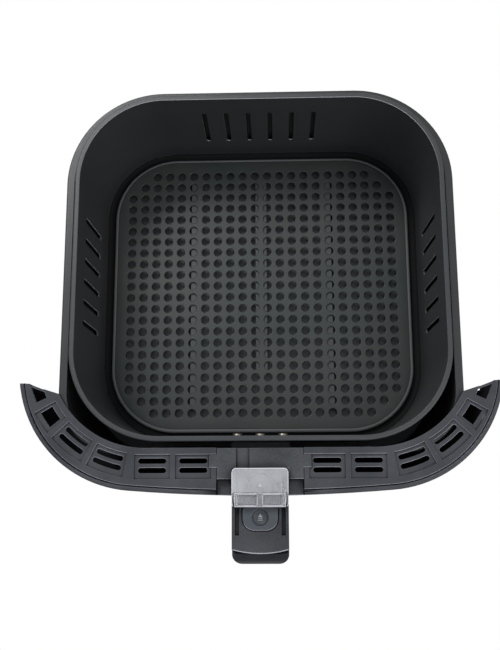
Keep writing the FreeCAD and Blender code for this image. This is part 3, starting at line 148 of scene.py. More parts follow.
class Graph:
    """Node tree of one material or world."""

    # Rays of the nodes that look round a point, then the scales and fades of the masks.
    RAYS = 8
    ROUND_RAYS = 6
    EDGE_FADE = (0.1, 0.5)
    OPEN_FADE = (0.3, 0.8)
    DEEP_SCALE = 300.0
    DEEP_FADE = (0.0, 0.9)
    AWAY_SCALE = 20.0
    AWAY_FADE = (0.2, 0.6)
    # Numbers of a colour Mix node's sockets for mask and colours, and of its colour output.
    MIX_SOCKETS = (0, 6, 7)
    MIX_COLOUR = 2

    def __init__(self, owner: Any) -> None:
        """Empty the tree of a new material or world, and give a material its surface.

        Args:
            owner: The material or world.
        """
        self.owner = owner
        owner.use_nodes = True
        self.tree = owner.node_tree
        self.tree.nodes.clear()
        material = isinstance(owner, Material)
        kind = "Material" if material else "World"
        self.output = self.tree.nodes.new(f"ShaderNodeOutput{kind}")
        if material:
            self.surface = self.tree.nodes.new("ShaderNodeBsdfPrincipled")
            self.show(Value(self, self.surface.outputs[0]))

    def show(self, shader: Value) -> None:
        """Put a shader on the output."""
        self.tree.links.new(shader.socket, self.output.inputs["Surface"])

    def put(self, socket: bpy.types.NodeSocket, value: Any) -> None:
        """Link a value to a socket, or set a constant on it.

        Args:
            socket: Input of a node.
            value: Wrapped output, or the constant.
        """
        if isinstance(value, Value):
            self.tree.links.new(value.socket, socket)
        else:
            socket.default_value = value

    def node(self, kind: str, settings: dict[str, Any], links: dict[Any, Any], out: Any = 0) -> Value:
        """Any node.

        Args:
            kind: Type name of the node.
            settings: Attributes to set first; "stops" holds a ramp's two (place, grey) pairs.
            links: Values or constants of its sockets, by name or number.
            out: Name or number of the output to return.

        Returns:
            The wrapped output.
        """
        made = self.tree.nodes.new(kind)
        for name, setting in settings.items():
            if name == "stops":
                self._stops(made.color_ramp, setting)
            else:
                setattr(made, name, setting)
        for name, value in links.items():
            self.put(made.inputs[name], value)
        return Value(self, made.outputs[out])

    @staticmethod
    def _stops(ramp: bpy.types.ColorRamp, stops: tuple[Pair, Pair]) -> None:
        """Set the two stops of a grey ramp.

        Args:
            ramp: The new ramp.
            stops: Place and grey of each stop.
        """
        for element, (place, grey) in zip(ramp.elements, stops):
            element.position = place
            element.color = (grey, grey, grey, 1.0)

    def place(self) -> Value:
        """Object coordinates."""
        return self.node("ShaderNodeTexCoord", {}, {}, "Object")

    def along(self, axis: int) -> Value:
        """One of the object coordinates, in metres."""
        return self.node("ShaderNodeSeparateXYZ", {}, {0: self.place()}, axis)

    def face(self) -> Value:
        """Normal of the flat face."""
        return self.node("ShaderNodeNewGeometry", {}, {}, "True Normal")

    def dot(self, first: Value, second: Any) -> Value:
        """Dot product of two vectors."""
        links = {0: first, 1: second}
        return self.node("ShaderNodeVectorMath", {"operation": "DOT_PRODUCT"}, links, "Value")

    def noise(self, scale: float, detail: float = 2.0, rough: float = 0.5) -> Value:
        """Noise from 0 to 1 with a number of bumps to the metre."""
        links = {"Vector": self.place(), "Scale": scale, "Detail": detail, "Roughness": rough}
        return self.node("ShaderNodeTexNoise", {}, links, "Fac")

    def ramp(self, value: Value, fade: Pair, levels: Pair = (0.0, 1.0)) -> Value:
        """Grey that goes from one level to another between two values."""
        return self.node("ShaderNodeValToRGB", {"stops": tuple(zip(fade, levels))}, {"Fac": value})

    def edge(self, reach: float) -> Value:
        """Mask of outward edges: 0 on flat faces and in corners, towards 1 on an edge.

        Args:
            reach: Width of the mask in millimetres.

        Returns:
            The mask.
        """
        settings = {"samples": self.RAYS, "inside": True, "only_local": True}
        depth = self.node("ShaderNodeAmbientOcclusion", settings, {"Distance": reach * MM}, "AO")
        return self.ramp(1.0 - depth, self.EDGE_FADE)

    def open_air(self, reach: float, fade: Pair = OPEN_FADE, rays: int = RAYS) -> Value:
        """Mask that falls from 1 on open faces to 0 deep in slots and hollows.

        Args:
            reach: How far away a wall still counts, in millimetres.
            fade: Shares of open sky at which the mask is 0 and 1.
            rays: Number of rays that look for walls.

        Returns:
            The mask.
        """
        sky = self.node("ShaderNodeAmbientOcclusion", {"samples": rays}, {"Distance": reach * MM}, "AO")
        return self.ramp(sky, fade)

    def inside(self, height: float) -> Value:
        """Mask of low faces that do not look away from the drawer's middle.

        Args:
            height: Height in millimetres under which a face counts as low.

        Returns:
            The mask.
        """
        level = {0: self.place(), 1: (1.0, 1.0, 0.0)}
        plan = self.node("ShaderNodeVectorMath", {"operation": "MULTIPLY"}, level)
        away = self.dot(plan, self.face())
        deep = self.ramp((height * MM - self.along(2)) * self.DEEP_SCALE, self.DEEP_FADE)
        return self.ramp(away * self.AWAY_SCALE, self.AWAY_FADE, (1.0, 0.0)) * deep

    def rounded(self, radius: float) -> Value:
        """Normal of the surface with its edges rounded to a radius in millimetres."""
        return self.node("ShaderNodeBevel", {"samples": self.ROUND_RAYS}, {"Radius": radius * MM})

    def lean(self, normal: Value, way: Triple) -> Value:
        """How much further a normal leans towards a direction than the face does, and never below 0."""
        return (self.dot(normal, way) - self.dot(self.face(), way)) | 0.0

    def blend(self, mask: Value, first: Any, second: Any) -> Value:
        """Colour between two others, by a mask.

        Args:
            mask: Share of the second colour.
            first: Colour or colour value where the mask is 0.
            second: Colour or colour value where the mask is 1.

        Returns:
            The mixed colour.
        """
        ends = [end if isinstance(end, Value) else (*end, 1.0) for end in (first, second)]
        links = dict(zip(self.MIX_SOCKETS, (mask, *ends)))
        return self.node("ShaderNodeMix", {"data_type": "RGBA"}, links, self.MIX_COLOUR)

    def bump(self, height: Value, strength: float, rise: float, normal: Value) -> Value:
        """Normal from a height, with a rise in millimetres, over a surface with the given normal."""
        links = {"Height": height, "Strength": strength, "Distance": rise * MM, "Normal": normal}
        return self.node("ShaderNodeBump", {}, links)

    def mix(self, share: Value, other: Value) -> None:
        """Show the surface with a share from 0 to 1, and another shader for the rest."""
        plain = Value(self, self.surface.outputs[0])
        self.show(self.node("ShaderNodeMixShader", {}, {0: share, 1: other, 2: plain}))

    def dress(self, **sockets: Any) -> Material:
        """Fill the surface's sockets.

        Args:
            sockets: Values or constants by name of socket, with underscores for spaces.

        Returns:
            The finished material.
        """
        for name, value in sockets.items():
            self.put(self.surface.inputs[name.replace("_", " ")], value)
        return self.owner


@dataclass(frozen=True)
class CoatedSheet:
    """Satin non-stick coat on sheet metal: cool and warm casts, pale flecks, worn pale edges and a faint
    orange peel, with a painted highlight on edges that lean to the front.

    Scales are in bumps to the metre, and a share or dullness is what a pattern adds to colour or roughness.
    """

    name: str
    ground: Colour
    warm: Colour
    fleck: Colour
    gloss: float
    rub: float = 0.5
    edge: float = 0.4
    # Strength of a painted highlight on rounded edges that lean to the front.
    painted_glint: float = 0.0
    bend: float = 1.5
    # Colour of that painted highlight.
    bright: Colour = (0.75, 0.75, 0.79)
    cloud_scale: float = 28.0
    cloud_share: float = 0.3
    cloud_dull: float = 0.12
    cast_scale: float = 9.0
    cast_fade: Pair = (0.4, 0.62)
    fleck_scale: float = 1900.0
    fleck_fade: Pair = (0.64, 0.7)
    fleck_share: float = 0.55
    fleck_dull: float = 0.05
    rub_reach: float = 0.6
    rub_least: float = 0.4
    rub_shine: float = 0.08
    peel_scale: float = 750.0
    peel_strength: float = 0.12
    peel_rise: float = 0.12

    def material(self) -> Material:
        """Build the coat.

        Returns:
            The new material.
        """
        graph = Graph(bpy.data.materials.new(self.name))
        cloud = graph.noise(self.cloud_scale, detail=3.0)
        fleck = graph.ramp(graph.noise(self.fleck_scale, detail=1.0), self.fleck_fade)
        rubbed = graph.edge(self.rub_reach) * (cloud + self.rub_least) * self.rub
        mask = fleck * self.fleck_share + cloud * self.cloud_share + rubbed
        peel = graph.noise(self.peel_scale)
        dull = (cloud - 0.5) * self.cloud_dull + fleck * self.fleck_dull
        rough = self.gloss + dull - rubbed * self.rub_shine
        cast = graph.ramp(graph.noise(self.cast_scale), self.cast_fade)
        ground = graph.blend(cast, self.ground, self.warm)
        normal = graph.rounded(self.edge)
        # Painted highlight: rounded edges that lean to the front are blended towards a pale colour.
        painted_glint = graph.edge(self.edge) * graph.lean(normal, FRONT) * self.painted_glint
        coat = graph.blend(mask, ground, self.fleck)
        return graph.dress(Base_Color=graph.blend(painted_glint, coat, self.bright), Roughness=rough, IOR=self.bend,
                           Normal=graph.bump(peel, self.peel_strength, self.peel_rise, normal))


@dataclass(frozen=True)
class MouldedPlastic:
    """Dark grained plastic, lightened along edges by wear and by a painted highlight where they lean to the
    front, and painted black as shade in hollows and on low faces that look into the drawer.

    Scales are in bumps to the metre, and a share or dullness is what a pattern adds to colour or roughness.
    """

    name: str
    ground: Colour
    worn: Colour
    gloss: float
    grain: float = 0.2
    # Pale colour of edges: wear, and a painted highlight where edges lean to the front.
    rubbed: Colour = (0.7, 0.7, 0.77)
    # Colour of the painted shade in hollows and inside the cover.
    shade_colour: Colour = (0.022, 0.022, 0.026)
    edge: float = 0.7
    shine: float = 0.25
    # Height in millimetres under which faces that look into the drawer get painted shade, then how far in
    # millimetres walls reach to shade hollows.
    shade_under: float = -1.0
    shade_reach: float = 40.0
    cloud_scale: float = 45.0
    cloud_fade: Pair = (0.35, 0.75)
    cloud_share: float = 0.7
    cloud_dull: float = 0.1
    speck_scale: float = 900.0
    speck_fade: Pair = (0.45, 0.8)
    speck_share: float = 0.35
    grain_scale: float = 2600.0
    grain_rise: float = 0.1
    grain_dull: float = 0.08
    # How much a front-leaning edge adds to the painted highlight, the share that every edge gets as wear,
    # and how the mark spreads over edges and clouds.
    highlight_lean: float = 1.6
    rub_least: float = 0.03
    wear_highlight_edge: Pair = (0.1, 1.0)
    wear_highlight_cloud: Pair = (0.7, 1.1)
    rub_shine: float = 0.25

    def material(self) -> Material:
        """Build the plastic.

        Returns:
            The new material.
        """
        graph = Graph(bpy.data.materials.new(self.name))
        cloud = graph.ramp(graph.noise(self.cloud_scale, detail=4.0), self.cloud_fade)
        speck = graph.ramp(graph.noise(self.speck_scale), self.speck_fade)
        grain = graph.noise(self.grain_scale)
        normal = graph.rounded(self.edge)
        # Painted highlight: edges grow paler the further their rounded normal leans to the front; the small
        # constant part is wear on every edge.
        front_highlight = graph.lean(normal, FRONT) * self.highlight_lean + self.rub_least
        rubbed = graph.edge(self.edge).span(*self.wear_highlight_edge) * cloud.span(*self.wear_highlight_cloud) * front_highlight
        worn = graph.blend(cloud * self.cloud_share + speck * self.speck_share, self.ground, self.worn)
        dull = (cloud - 0.5) * self.cloud_dull + (grain - 0.5) * self.grain_dull
        rough = self.gloss + dull - rubbed * self.rub_shine
        bumps = graph.bump(grain, self.grain, self.grain_rise, normal)
        graph.dress(Base_Color=graph.blend(rubbed, worn, self.rubbed), Roughness=rough, Normal=bumps,
                    Specular_IOR_Level=self.shine)
        # Painted shade: a black matt surface without gloss covers faces deep in slots and hollows and low
        # faces that look into the drawer.
        shade_sockets = {"Base Color": (*self.shade_colour, 1.0), "Roughness": 1.0, "Specular IOR Level": 0.0}
        black = graph.node("ShaderNodeBsdfPrincipled", {}, shade_sockets)
        unshaded = graph.open_air(self.shade_reach) * (1.0 - graph.inside(self.shade_under))
        graph.mix(unshaded, black)
        return graph.owner


@dataclass(frozen=True)
class ClearPlastic:
    """Clear moulded plastic, hazed by handling and by a painted reflection, milky along its edges as a
    painted highlight, and frosted behind a line across it.

    Scales are in bumps to the metre. The line is a place along the drawer's depth.
    """

    name: str
    tint: Colour
    milk: Colour
    gloss: float
    clear: float
    # Milky haze: partly handling, partly a painted reflection.
    haze_and_sheen: float
    frost: float = 0.0
    frost_from: float = 0.0
    edge: float = 0.5
    bend: float = 1.49
    milk_gloss: float = 0.35
    # Share of the milky colour on edges, a painted highlight.
    edge_highlight: float = 0.9
    cloud_scale: float = 38.0
    cloud_rough: float = 0.6
    cloud_fade: Pair = (0.3, 0.75)
    cloud_dull: float = 0.12
    cloud_haze: Pair = (0.4, 1.0)
    cloud_frost: Pair = (0.6, 1.4)
    frost_fade: Pair = (0.0, 0.6)
    scratch_scale: float = 800.0
    scratch_rough: float = 0.7
    scratch_fade: Pair = (0.5, 0.8)
    scratch_share: float = 0.06
    wave_scale: float = 90.0
    wave_strength: float = 0.15
    wave_rise: float = 0.4

    def material(self) -> Material:
        """Build the plastic.

        Returns:
            The new material.
        """
        graph = Graph(bpy.data.materials.new(self.name))
        cloud = graph.ramp(graph.noise(self.cloud_scale, 3.0, self.cloud_rough), self.cloud_fade)
        scratch = graph.ramp(graph.noise(self.scratch_scale, 3.0, self.scratch_rough), self.scratch_fade)
        wave = graph.noise(self.wave_scale)
        normal = graph.bump(wave, self.wave_strength, self.wave_rise, graph.rounded(self.edge))
        rough = self.gloss + cloud * self.cloud_dull
        graph.dress(Base_Color=(*self.tint, 1.0), Roughness=rough, Normal=normal, IOR=self.bend,
                    Transmission_Weight=self.clear)
        links = {"Base Color": (*self.milk, 1.0), "Roughness": self.milk_gloss, "Normal": normal}
        milky = graph.node("ShaderNodeBsdfPrincipled", {}, links)
        behind = graph.ramp((graph.along(1) - self.frost_from * MM) * (1.0 / MM), self.frost_fade)
        frost = behind * self.frost * cloud.span(*self.cloud_frost)
        haze_and_sheen = self.haze_and_sheen * cloud.span(*self.cloud_haze)
        # The milky mask adds frost, haze that is partly a painted reflection, scratches, and a painted
        # highlight on edges.
        mask = frost + haze_and_sheen + scratch * self.scratch_share + graph.edge(self.edge) * self.edge_highlight
        graph.mix(1.0 - mask, milky)
        return graph.owner


@dataclass(frozen=True)
class BrightSteel:
    """Plated steel with fine drawn lines, whose scale is in lines to the metre."""

    name: str
    tone: Colour
    dull: Colour
    gloss: float
    line_scale: float = 420.0
    line_squeeze: Triple = (1.0, 1.0, 14.0)
    line_dull: float = 0.2

    def material(self) -> Material:
        """Build the steel.

        Returns:
            The new material.
        """
        graph = Graph(bpy.data.materials.new(self.name))
        stretch = graph.node("ShaderNodeMapping", {}, {"Vector": graph.place(), "Scale": self.line_squeeze})
        links = {"Vector": stretch, "Scale": self.line_scale, "Detail": 3.0}
        lines = graph.node("ShaderNodeTexNoise", {}, links, "Fac")
        return graph.dress(Base_Color=graph.blend(lines, self.dull, self.tone), Metallic=1.0,
                           Roughness=self.gloss + (lines - 0.5) * self.line_dull)


PAN_COAT = CoatedSheet("pan satin coat", (0.018, 0.02, 0.02), (0.02, 0.02, 0.019), (0.048, 0.05, 0.05), 0.36)
# Painted light: a paler coat on the pan's floor, seen through the basket's holes, stands in for light
# falling through them.
PAN_FLOOR_LIGHT_COAT = CoatedSheet("pan floor painted light coat", (0.032, 0.036, 0.035), (0.037, 0.037, 0.035),
                             (0.066, 0.07, 0.069), 0.4)
# The basket coat has a strong painted highlight on its rim's front-leaning edges.
BASKET_COAT = CoatedSheet("basket satin coat", (0.032, 0.035, 0.037), (0.037, 0.037, 0.037),
                          (0.07, 0.074, 0.074), 0.4, rub=0.2, edge=0.8, painted_glint=2.6)
# Painted shade: a near-black coat with little gloss in the groove round the basket's floor.
GROOVE_SHADE_COAT = CoatedSheet("groove painted shade coat", (0.009, 0.0095, 0.01), (0.011, 0.011, 0.011),
                          (0.02, 0.021, 0.021), 0.6, bend=1.12)
# Painted shade: the basket floor's coat is a darker copy of the wall's, for the floor that faces up to the
# lamps.
FLOOR_SHADE_COAT = CoatedSheet("basket floor shaded satin coat", (0.021, 0.0265, 0.0255), (0.029, 0.0285, 0.0255),
                         (0.06, 0.066, 0.063), 0.4)
# Painted highlight: a pale coat on the upper part of the plateau's rounded edge.
PLATEAU_HIGHLIGHT_COAT = CoatedSheet("plateau edge painted highlight coat", (0.2, 0.21, 0.216), (0.21, 0.21, 0.206),
                           (0.26, 0.27, 0.272), 0.34)
BRACKET_COAT = CoatedSheet("bracket black coat", (0.006, 0.006, 0.007), (0.008, 0.008, 0.008),
                           (0.02, 0.02, 0.021), 0.45)
# The cover's low faces that look into the drawer get painted shade.
FRAME_PLASTIC = MouldedPlastic("cover charcoal plastic", (0.036, 0.039, 0.043), (0.07, 0.072, 0.078), 0.48,
                               shade_under=83.5)
ROOT_PLASTIC = MouldedPlastic("root charcoal plastic", (0.038, 0.041, 0.043), (0.1, 0.103, 0.106), 0.5)
# The handle's painted shade in its grooves is blacker than the cover's.
HANDLE_PLASTIC = MouldedPlastic("handle charcoal plastic", (0.044, 0.044, 0.048), (0.09, 0.09, 0.096), 0.46,
                                shade_colour=(0.012, 0.012, 0.013), shine=0.06)
# Painted highlight: pale plastic on the crease along the handle's front and on the button's front edge.
CREASE_HIGHLIGHT_PLASTIC = MouldedPlastic("crease rubbed plastic", (0.38, 0.38, 0.42), (0.62, 0.62, 0.67), 0.4)
LOWER_PLASTIC = MouldedPlastic("lower handle charcoal plastic", (0.042, 0.044, 0.047), (0.1, 0.103, 0.107),
                               0.5, shade_reach=4.0)
# Painted shade: a darker plastic on the lower shell's front-facing nose.
NOSE_SHADE_PLASTIC = MouldedPlastic("nose painted shade plastic", (0.026, 0.026, 0.029), (0.048, 0.048, 0.053), 0.46,
                              shine=0.06, shade_reach=4.0)
BUTTON_PLASTIC = MouldedPlastic("button slate plastic", (0.063, 0.071, 0.079), (0.086, 0.096, 0.106), 0.4,
                                grain=0.12)
SIGN_PRINT = MouldedPlastic("sign grey print", (0.26, 0.27, 0.28), (0.34, 0.35, 0.36), 0.5, shade_reach=1.0)
LATCH_PLASTIC = MouldedPlastic("latch black plastic", (0.02, 0.02, 0.021), (0.032, 0.032, 0.034), 0.45)
# The guard's haze is partly a painted reflection and its milky edges a painted highlight.
GUARD_PLASTIC = ClearPlastic("guard hazed clear plastic", (0.97, 0.97, 0.98), (0.92, 0.92, 0.95),
                             0.08, 0.9, 0.1, frost=0.14, frost_from=-108.9, edge=0.65)
MARK_PLASTIC = ClearPlastic("guard mark plastic", (0.97, 0.97, 0.98), (0.5, 0.5, 0.51), 0.1, 0.8, 0.1)
STEEL = BrightSteel("plated steel", (0.62, 0.6, 0.54), (0.34, 0.33, 0.31), 0.36)
RIVET_STEEL = BrightSteel("dull rivet steel", (0.42, 0.38, 0.31), (0.2, 0.18, 0.15), 0.4)


def deselect() -> None:
    """Leave edit mode and deselect every object."""
    if bpy.context.object and bpy.context.object.mode != "OBJECT":
        bpy.ops.object.mode_set(mode="OBJECT")
    bpy.ops.object.select_all(action="DESELECT")


def activate(item: Piece) -> None:
    """Make one object the only selected and active one.

    Args:
        item: The object.
    """
    deselect()
    item.select_set(True)
    bpy.context.view_layer.objects.active = item


def added(operator: Callable[..., Any], **options: Any) -> Piece:
    """Add a primitive with nothing else selected.

    Args:
        operator: Operator that adds the primitive.
        options: What the operator takes.

    Returns:
        The new object.
    """
    deselect()
    operator(**options)
    return bpy.context.object


@contextmanager
def editing(item: Piece) -> Iterator[None]:
    """Edit mode on one object, with everything in it selected at the start.

    Args:
        item: Object to edit.

    Yields:
        Nothing.
    """
    activate(item)
    bpy.ops.object.mode_set(mode="EDIT")
    bpy.ops.mesh.select_all(action="SELECT")
    yield
    bpy.ops.object.mode_set(mode="OBJECT")


def choose(item: Piece, mode: str, test: Test, rims: bool = False) -> None:
    """Select in edit mode the vertices, edges or faces that a test accepts.

    Args:
        item: Object in edit mode.
        mode: VERT, EDGE or FACE.
        test: Takes a vertex or face, or the list of an edge's two vertices.
        rims: Whether only edges with one face count.
    """
    bpy.ops.mesh.select_mode(type=mode)
    bpy.ops.mesh.select_all(action="DESELECT")
    if rims:
        bpy.ops.mesh.select_non_manifold(extend=False, use_wire=False, use_multi_face=False,
                                         use_non_contiguous=False, use_verts=False)
    bpy.ops.object.mode_set(mode="OBJECT")
    mesh = item.data
    kept = {edge.index for edge in mesh.edges if edge.select or not rims}

    def passes(edge: bpy.types.MeshEdge) -> bool:
        """Whether an edge counts and its ends are accepted."""
        return edge.index in kept and test([mesh.vertices[number] for number in edge.vertices])

    for vertex in mesh.vertices:
        vertex.select = mode == "VERT" and test(vertex)
    for edge in mesh.edges:
        edge.select = mode == "EDGE" and passes(edge)
    for face in mesh.polygons:
        face.select = mode == "FACE" and test(face)
    bpy.ops.object.mode_set(mode="EDIT")


def extrude(rise: float) -> None:
    """Extrude what is selected straight up by a number of metres, or down where it is below 0."""
    bpy.ops.mesh.extrude_region_move(TRANSFORM_OT_translate={"value": (0.0, 0.0, rise)})


def outward() -> None:
    """Turn all faces of the object in edit mode outwards."""
    bpy.ops.mesh.select_all(action="SELECT")
    bpy.ops.mesh.normals_make_consistent(inside=False)


def settle(item: Piece) -> None:
    """Put an object's place, turn and scale into its mesh."""
    activate(item)
    bpy.ops.object.transform_apply(location=True, rotation=True, scale=True)


def modify(item: Piece, kind: str, **settings: Any) -> None:
    """Add a modifier, set it and apply it.

    Args:
        item: Object to change.
        kind: Type name of the modifier.
        settings: Its attributes.
    """
    activate(item)
    modifier = item.modifiers.new(kind.lower(), kind)
    for name, setting in settings.items():
        setattr(modifier, name, setting)
    bpy.ops.object.modifier_apply(modifier=modifier.name)


def smooth(item: Piece, degrees: float = 32.0) -> None:
    """Smooth shading up to an angle."""
    activate(item)
    bpy.ops.object.shade_smooth_by_angle(angle=math.radians(degrees))


def dress(item: Piece, material: Material) -> None:
    """Give an object one material."""
    item.data.materials.clear()
    item.data.materials.append(material)


def copy_of(item: Piece, name: str, shift: Vector) -> Piece:
    """Copy of a piece with its own mesh, moved in its mesh.

    Args:
        item: Piece to copy.
        name: Name of the copy.
        shift: How far the copy is moved, in metres.

    Returns:
        The copy.
    """
    twin = bpy.data.objects.new(name, item.data.copy())
    twin.data.transform(Matrix.Translation(shift))
    bpy.context.scene.collection.objects.link(twin)
    return twin


def joined(items: list[Piece], name: str) -> Piece:
    """Join objects into the first one and name it.

    Args:
        items: Objects to join, one or more.
        name: Name of the result.

    Returns:
        The joined object.
    """
    activate(items[0])
    for item in items[1:]:
        item.select_set(True)
    if len(items) > 1:
        bpy.ops.object.join()
    result = bpy.context.object
    result.name = name
    return result


def merged(node: str) -> Piece:
    """Copy of a CAD node whose loose triangles are merged into whole faces.

    Args:
        node: Name of the node.

    Returns:
        The copy.
    """
    piece = bpy.data.objects.new(f"{node}_soft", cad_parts[node].data.copy())
    bpy.context.scene.collection.objects.link(piece)
    with editing(piece):
        bpy.ops.mesh.remove_doubles(threshold=WELD)
        bpy.ops.mesh.dissolve_limited(angle_limit=math.radians(SAME_FACE))
    return piece


def fair(piece: Piece) -> Piece:
    """Shade a merged piece smooth over its curves and level on its flats.

    Args:
        piece: The piece.

    Returns:
        The same piece.
    """
    smooth(piece)
    modify(piece, "WEIGHTED_NORMAL", keep_sharp=True)
    return piece


def finish_piece(item: Piece, body: Body, slot: Slot, material: Material, *nodes: str) -> Piece:
    """Dress a piece, let it ride on its body and stand for CAD nodes.

    Args:
        item: The piece.
        body: Body that it rides on.
        slot: Its material slot; not used.
        material: Its material.
        nodes: CAD nodes that it replaces.

    Returns:
        The piece.
    """
    dress(item, material)
    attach(item, body.value)
    if nodes:
        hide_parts(*nodes)
    log.info("%s: %d faces on %s", item.name, len(item.data.polygons), body.value)
    return item


def carry(node: str, body: Body, slot: Slot, material: Material) -> Piece:
    """Let a merged and faired copy of a CAD node stand for it."""
    return finish_piece(fair(merged(node)), body, slot, material, node)


def paint(item: Piece, material: Material, test: Test) -> None:
    """Give some faces of a finished piece a material of their own.

    Args:
        item: The piece.
        material: Material of those faces.
        test: Takes a face and says whether it is one of them.
    """
    item.data.materials.append(material)
    item.active_material_index = len(item.data.materials) - 1
    with editing(item):
        choose(item, "FACE", test)
        bpy.ops.object.material_slot_assign()


@dataclass
class PerforatedFloor:
    """Raised basket floor: pressed sheet with a grid of round holes and a rounded edge."""

    pitch_x: float = 9.0
    pitch_y: float = 8.37
    columns: int = 22
    rows: int = 22
    corner_squares: int = 2
    square_cuts: int = 3
    square_inner: float = 0.49
    square_weld: float = 0.01
    hole_radius: float = 2.9
    hole_lip: float = 0.32
    hole_sides: int = 16
    corner: float = 46.0
    corner_steps: int = 20
    edge: float = 3.5
    edge_steps: int = 6
    # Upward tilts of the edge faces that get the painted highlight.
    edge_tilt: Pair = (0.45, 0.96)
    sheet: float = 1.2
    smooth_to: float = 40.0

    def __post_init__(self) -> None:
        """Take the plate's box from the CAD node."""
        low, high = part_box("basket_floor")
        self.middle = (low + high) / 2
        self.size = high - low
        self.top = high.z
        self.foot = low.z

    def spans(self) -> tuple[tuple[float, int], tuple[float, int]]:
        """Pitch in metres and number of holes, across and along."""
        return (self.pitch_x * MM, self.columns), (self.pitch_y * MM, self.rows)

    def cell(self) -> Piece:
        """One square of sheet with its hole, on the origin.

        Returns:
            The square.
        """
        item = added(bpy.ops.mesh.primitive_plane_add, size=1.0)
        item.scale = (self.pitch_x * MM, self.pitch_y * MM, 1.0)
        settle(item)
        inner_x, inner_y = (self.square_inner * step for step, _ in self.spans())
        reach = (self.hole_radius + self.hole_lip) * MM
        shrink = self.hole_radius / (self.hole_radius + self.hole_lip)
        with editing(item):
            bpy.ops.mesh.subdivide(number_cuts=self.square_cuts)
            choose(item, "VERT", lambda v: abs(v.co.x) < inner_x and abs(v.co.y) < inner_y)
            bpy.ops.mesh.delete(type="VERT")
            bpy.ops.mesh.primitive_circle_add(vertices=self.hole_sides, radius=reach)
            bpy.ops.mesh.select_all(action="SELECT")
            bpy.ops.mesh.bridge_edge_loops()
            choose(item, "EDGE", lambda ends: all(v.co.length < reach + SLACK for v in ends))
            bpy.ops.mesh.extrude_edges_move()
            bpy.ops.transform.resize(value=(shrink, shrink, 1.0), center_override=(0.0, 0.0, 0.0))
            bpy.ops.transform.translate(value=(0.0, 0.0, -self.hole_lip * MM))
        return item

    def left_out(self, spot: Vector) -> bool:
        """Whether a spot lies in one of the squares that the grid leaves out at its four corners.

        Args:
            spot: Place on the sheet, from the middle of the grid.

        Returns:
            True in a square that is left out.
        """
        squares_in = 0
        for part, (step, count) in zip(spot, self.spans()):
            number = math.floor(part / step + count / 2)
            squares_in += min(number, count - 1 - number)
        return squares_in < self.corner_squares

    def grid(self) -> Piece:
        """All squares of the sheet, about the origin, without the corner ones.

        Returns:
            The grid.
        """
        item = self.cell()
        for axis, (step, count) in enumerate(self.spans()):
            shift = [0.0, 0.0, 0.0]
            shift[axis] = step
            modify(item, "ARRAY", count=count, use_relative_offset=False, use_constant_offset=True,
                   constant_offset_displace=shift, use_merge_vertices=True,
                   merge_threshold=self.square_weld * MM)
            item.location[axis] = -step * (count - 1) / 2
        settle(item)
        with editing(item):
            choose(item, "FACE", lambda face: self.left_out(face.center))
            bpy.ops.mesh.delete(type="FACE")
        return item

    def border(self) -> Piece:
        """Rounded edge and skirt of the plate, open on top and below.

        Returns:
            The border, about the origin.
        """
        item = added(bpy.ops.mesh.primitive_plane_add, size=1.0)
        item.scale = (self.size.x, self.size.y, 1.0)
        settle(item)
        with editing(item):
            bpy.ops.mesh.bevel(offset=self.corner * MM, segments=self.corner_steps, affect="VERTICES")
            extrude(self.foot - self.top)
            choose(item, "EDGE", lambda ends: all(v.co.z > -LEVEL for v in ends))
            bpy.ops.mesh.bevel(offset=self.edge * MM, segments=self.edge_steps, affect="EDGES")
            choose(item, "FACE", lambda face: abs(face.normal.z) > FLAT)
            bpy.ops.mesh.delete(type="ONLY_FACE")
        return item

    def build(self, material: Material) -> None:
        """Join grid and border by a flat band and give the sheet its thickness.

        Args:
            material: Coat of the floor.
        """
        item = joined([self.grid(), self.border()], "basket_floor_fine")
        with editing(item):
            choose(item, "EDGE", lambda ends: all(abs(v.co.z) < LEVEL for v in ends), rims=True)
            bpy.ops.mesh.fill()
            bpy.ops.mesh.select_all(action="SELECT")
            bpy.ops.mesh.remove_doubles(threshold=WELD)
            outward()
        if sum(face.normal.z * face.area for face in item.data.polygons) < 0:
            item.data.flip_normals()
        modify(item, "SOLIDIFY", thickness=self.sheet * MM, offset=-1.0)
        item.location = (self.middle.x, self.middle.y, self.top)
        settle(item)
        smooth(item, self.smooth_to)
        finish_piece(item, Body.BASKET, Slot.BASKET_COAT, material, "basket_floor")
        # Painted highlight along the upper part of the plateau's rounded edge.
        paint(item, PLATEAU_HIGHLIGHT_COAT.material(), self.on_edge)

    def on_edge(self, face: bpy.types.MeshPolygon) -> bool:
        """Whether a face lies on the upper part of the plateau's rounded edge, which gets the painted
        highlight.

        Args:
            face: Face of the finished floor.

        Returns:
            True on the edge.
        """
        away = face.center - self.middle
        corner = self.corner * MM
        past = Vector([max(0.0, abs(away[axis]) - self.size[axis] / 2 + corner) for axis in range(2)])
        least, most = self.edge_tilt
        return least < face.normal.z < most and past.length > corner - self.edge * MM


class Facing(Enum):
    """Ways that a fastener's head can face, as the turn that brings it there from upright."""

    REAR = (-90.0, "X")
    DOWN = (180.0, "X")


class Head(Enum):
    """Kinds of fastener head."""

    RIVET = "rivet"
    CROSS = "cross"


def shells(node: str) -> list[list[Vector]]:
    """Points of each loose part of a CAD node.

    Args:
        node: Name of the node.

    Returns:
        One list of points for each part.
    """
    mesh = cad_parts[node].data
    keys = [tuple(round(part, 6) for part in vertex.co) for vertex in mesh.vertices]
    parent = {key: key for key in keys}

    def root(key: Triple) -> Triple:
        """Point that stands for a point's whole part."""
        while parent[key] != key:
            key = parent[key]
        return key

    for face in mesh.polygons:
        first, *others = (root(keys[number]) for number in face.vertices)
        for other in others:
            parent[root(other)] = root(first)
    groups: dict[Triple, list[Vector]] = {}
    for key in parent:
        groups.setdefault(root(key), []).append(Vector(key))
    return list(groups.values())


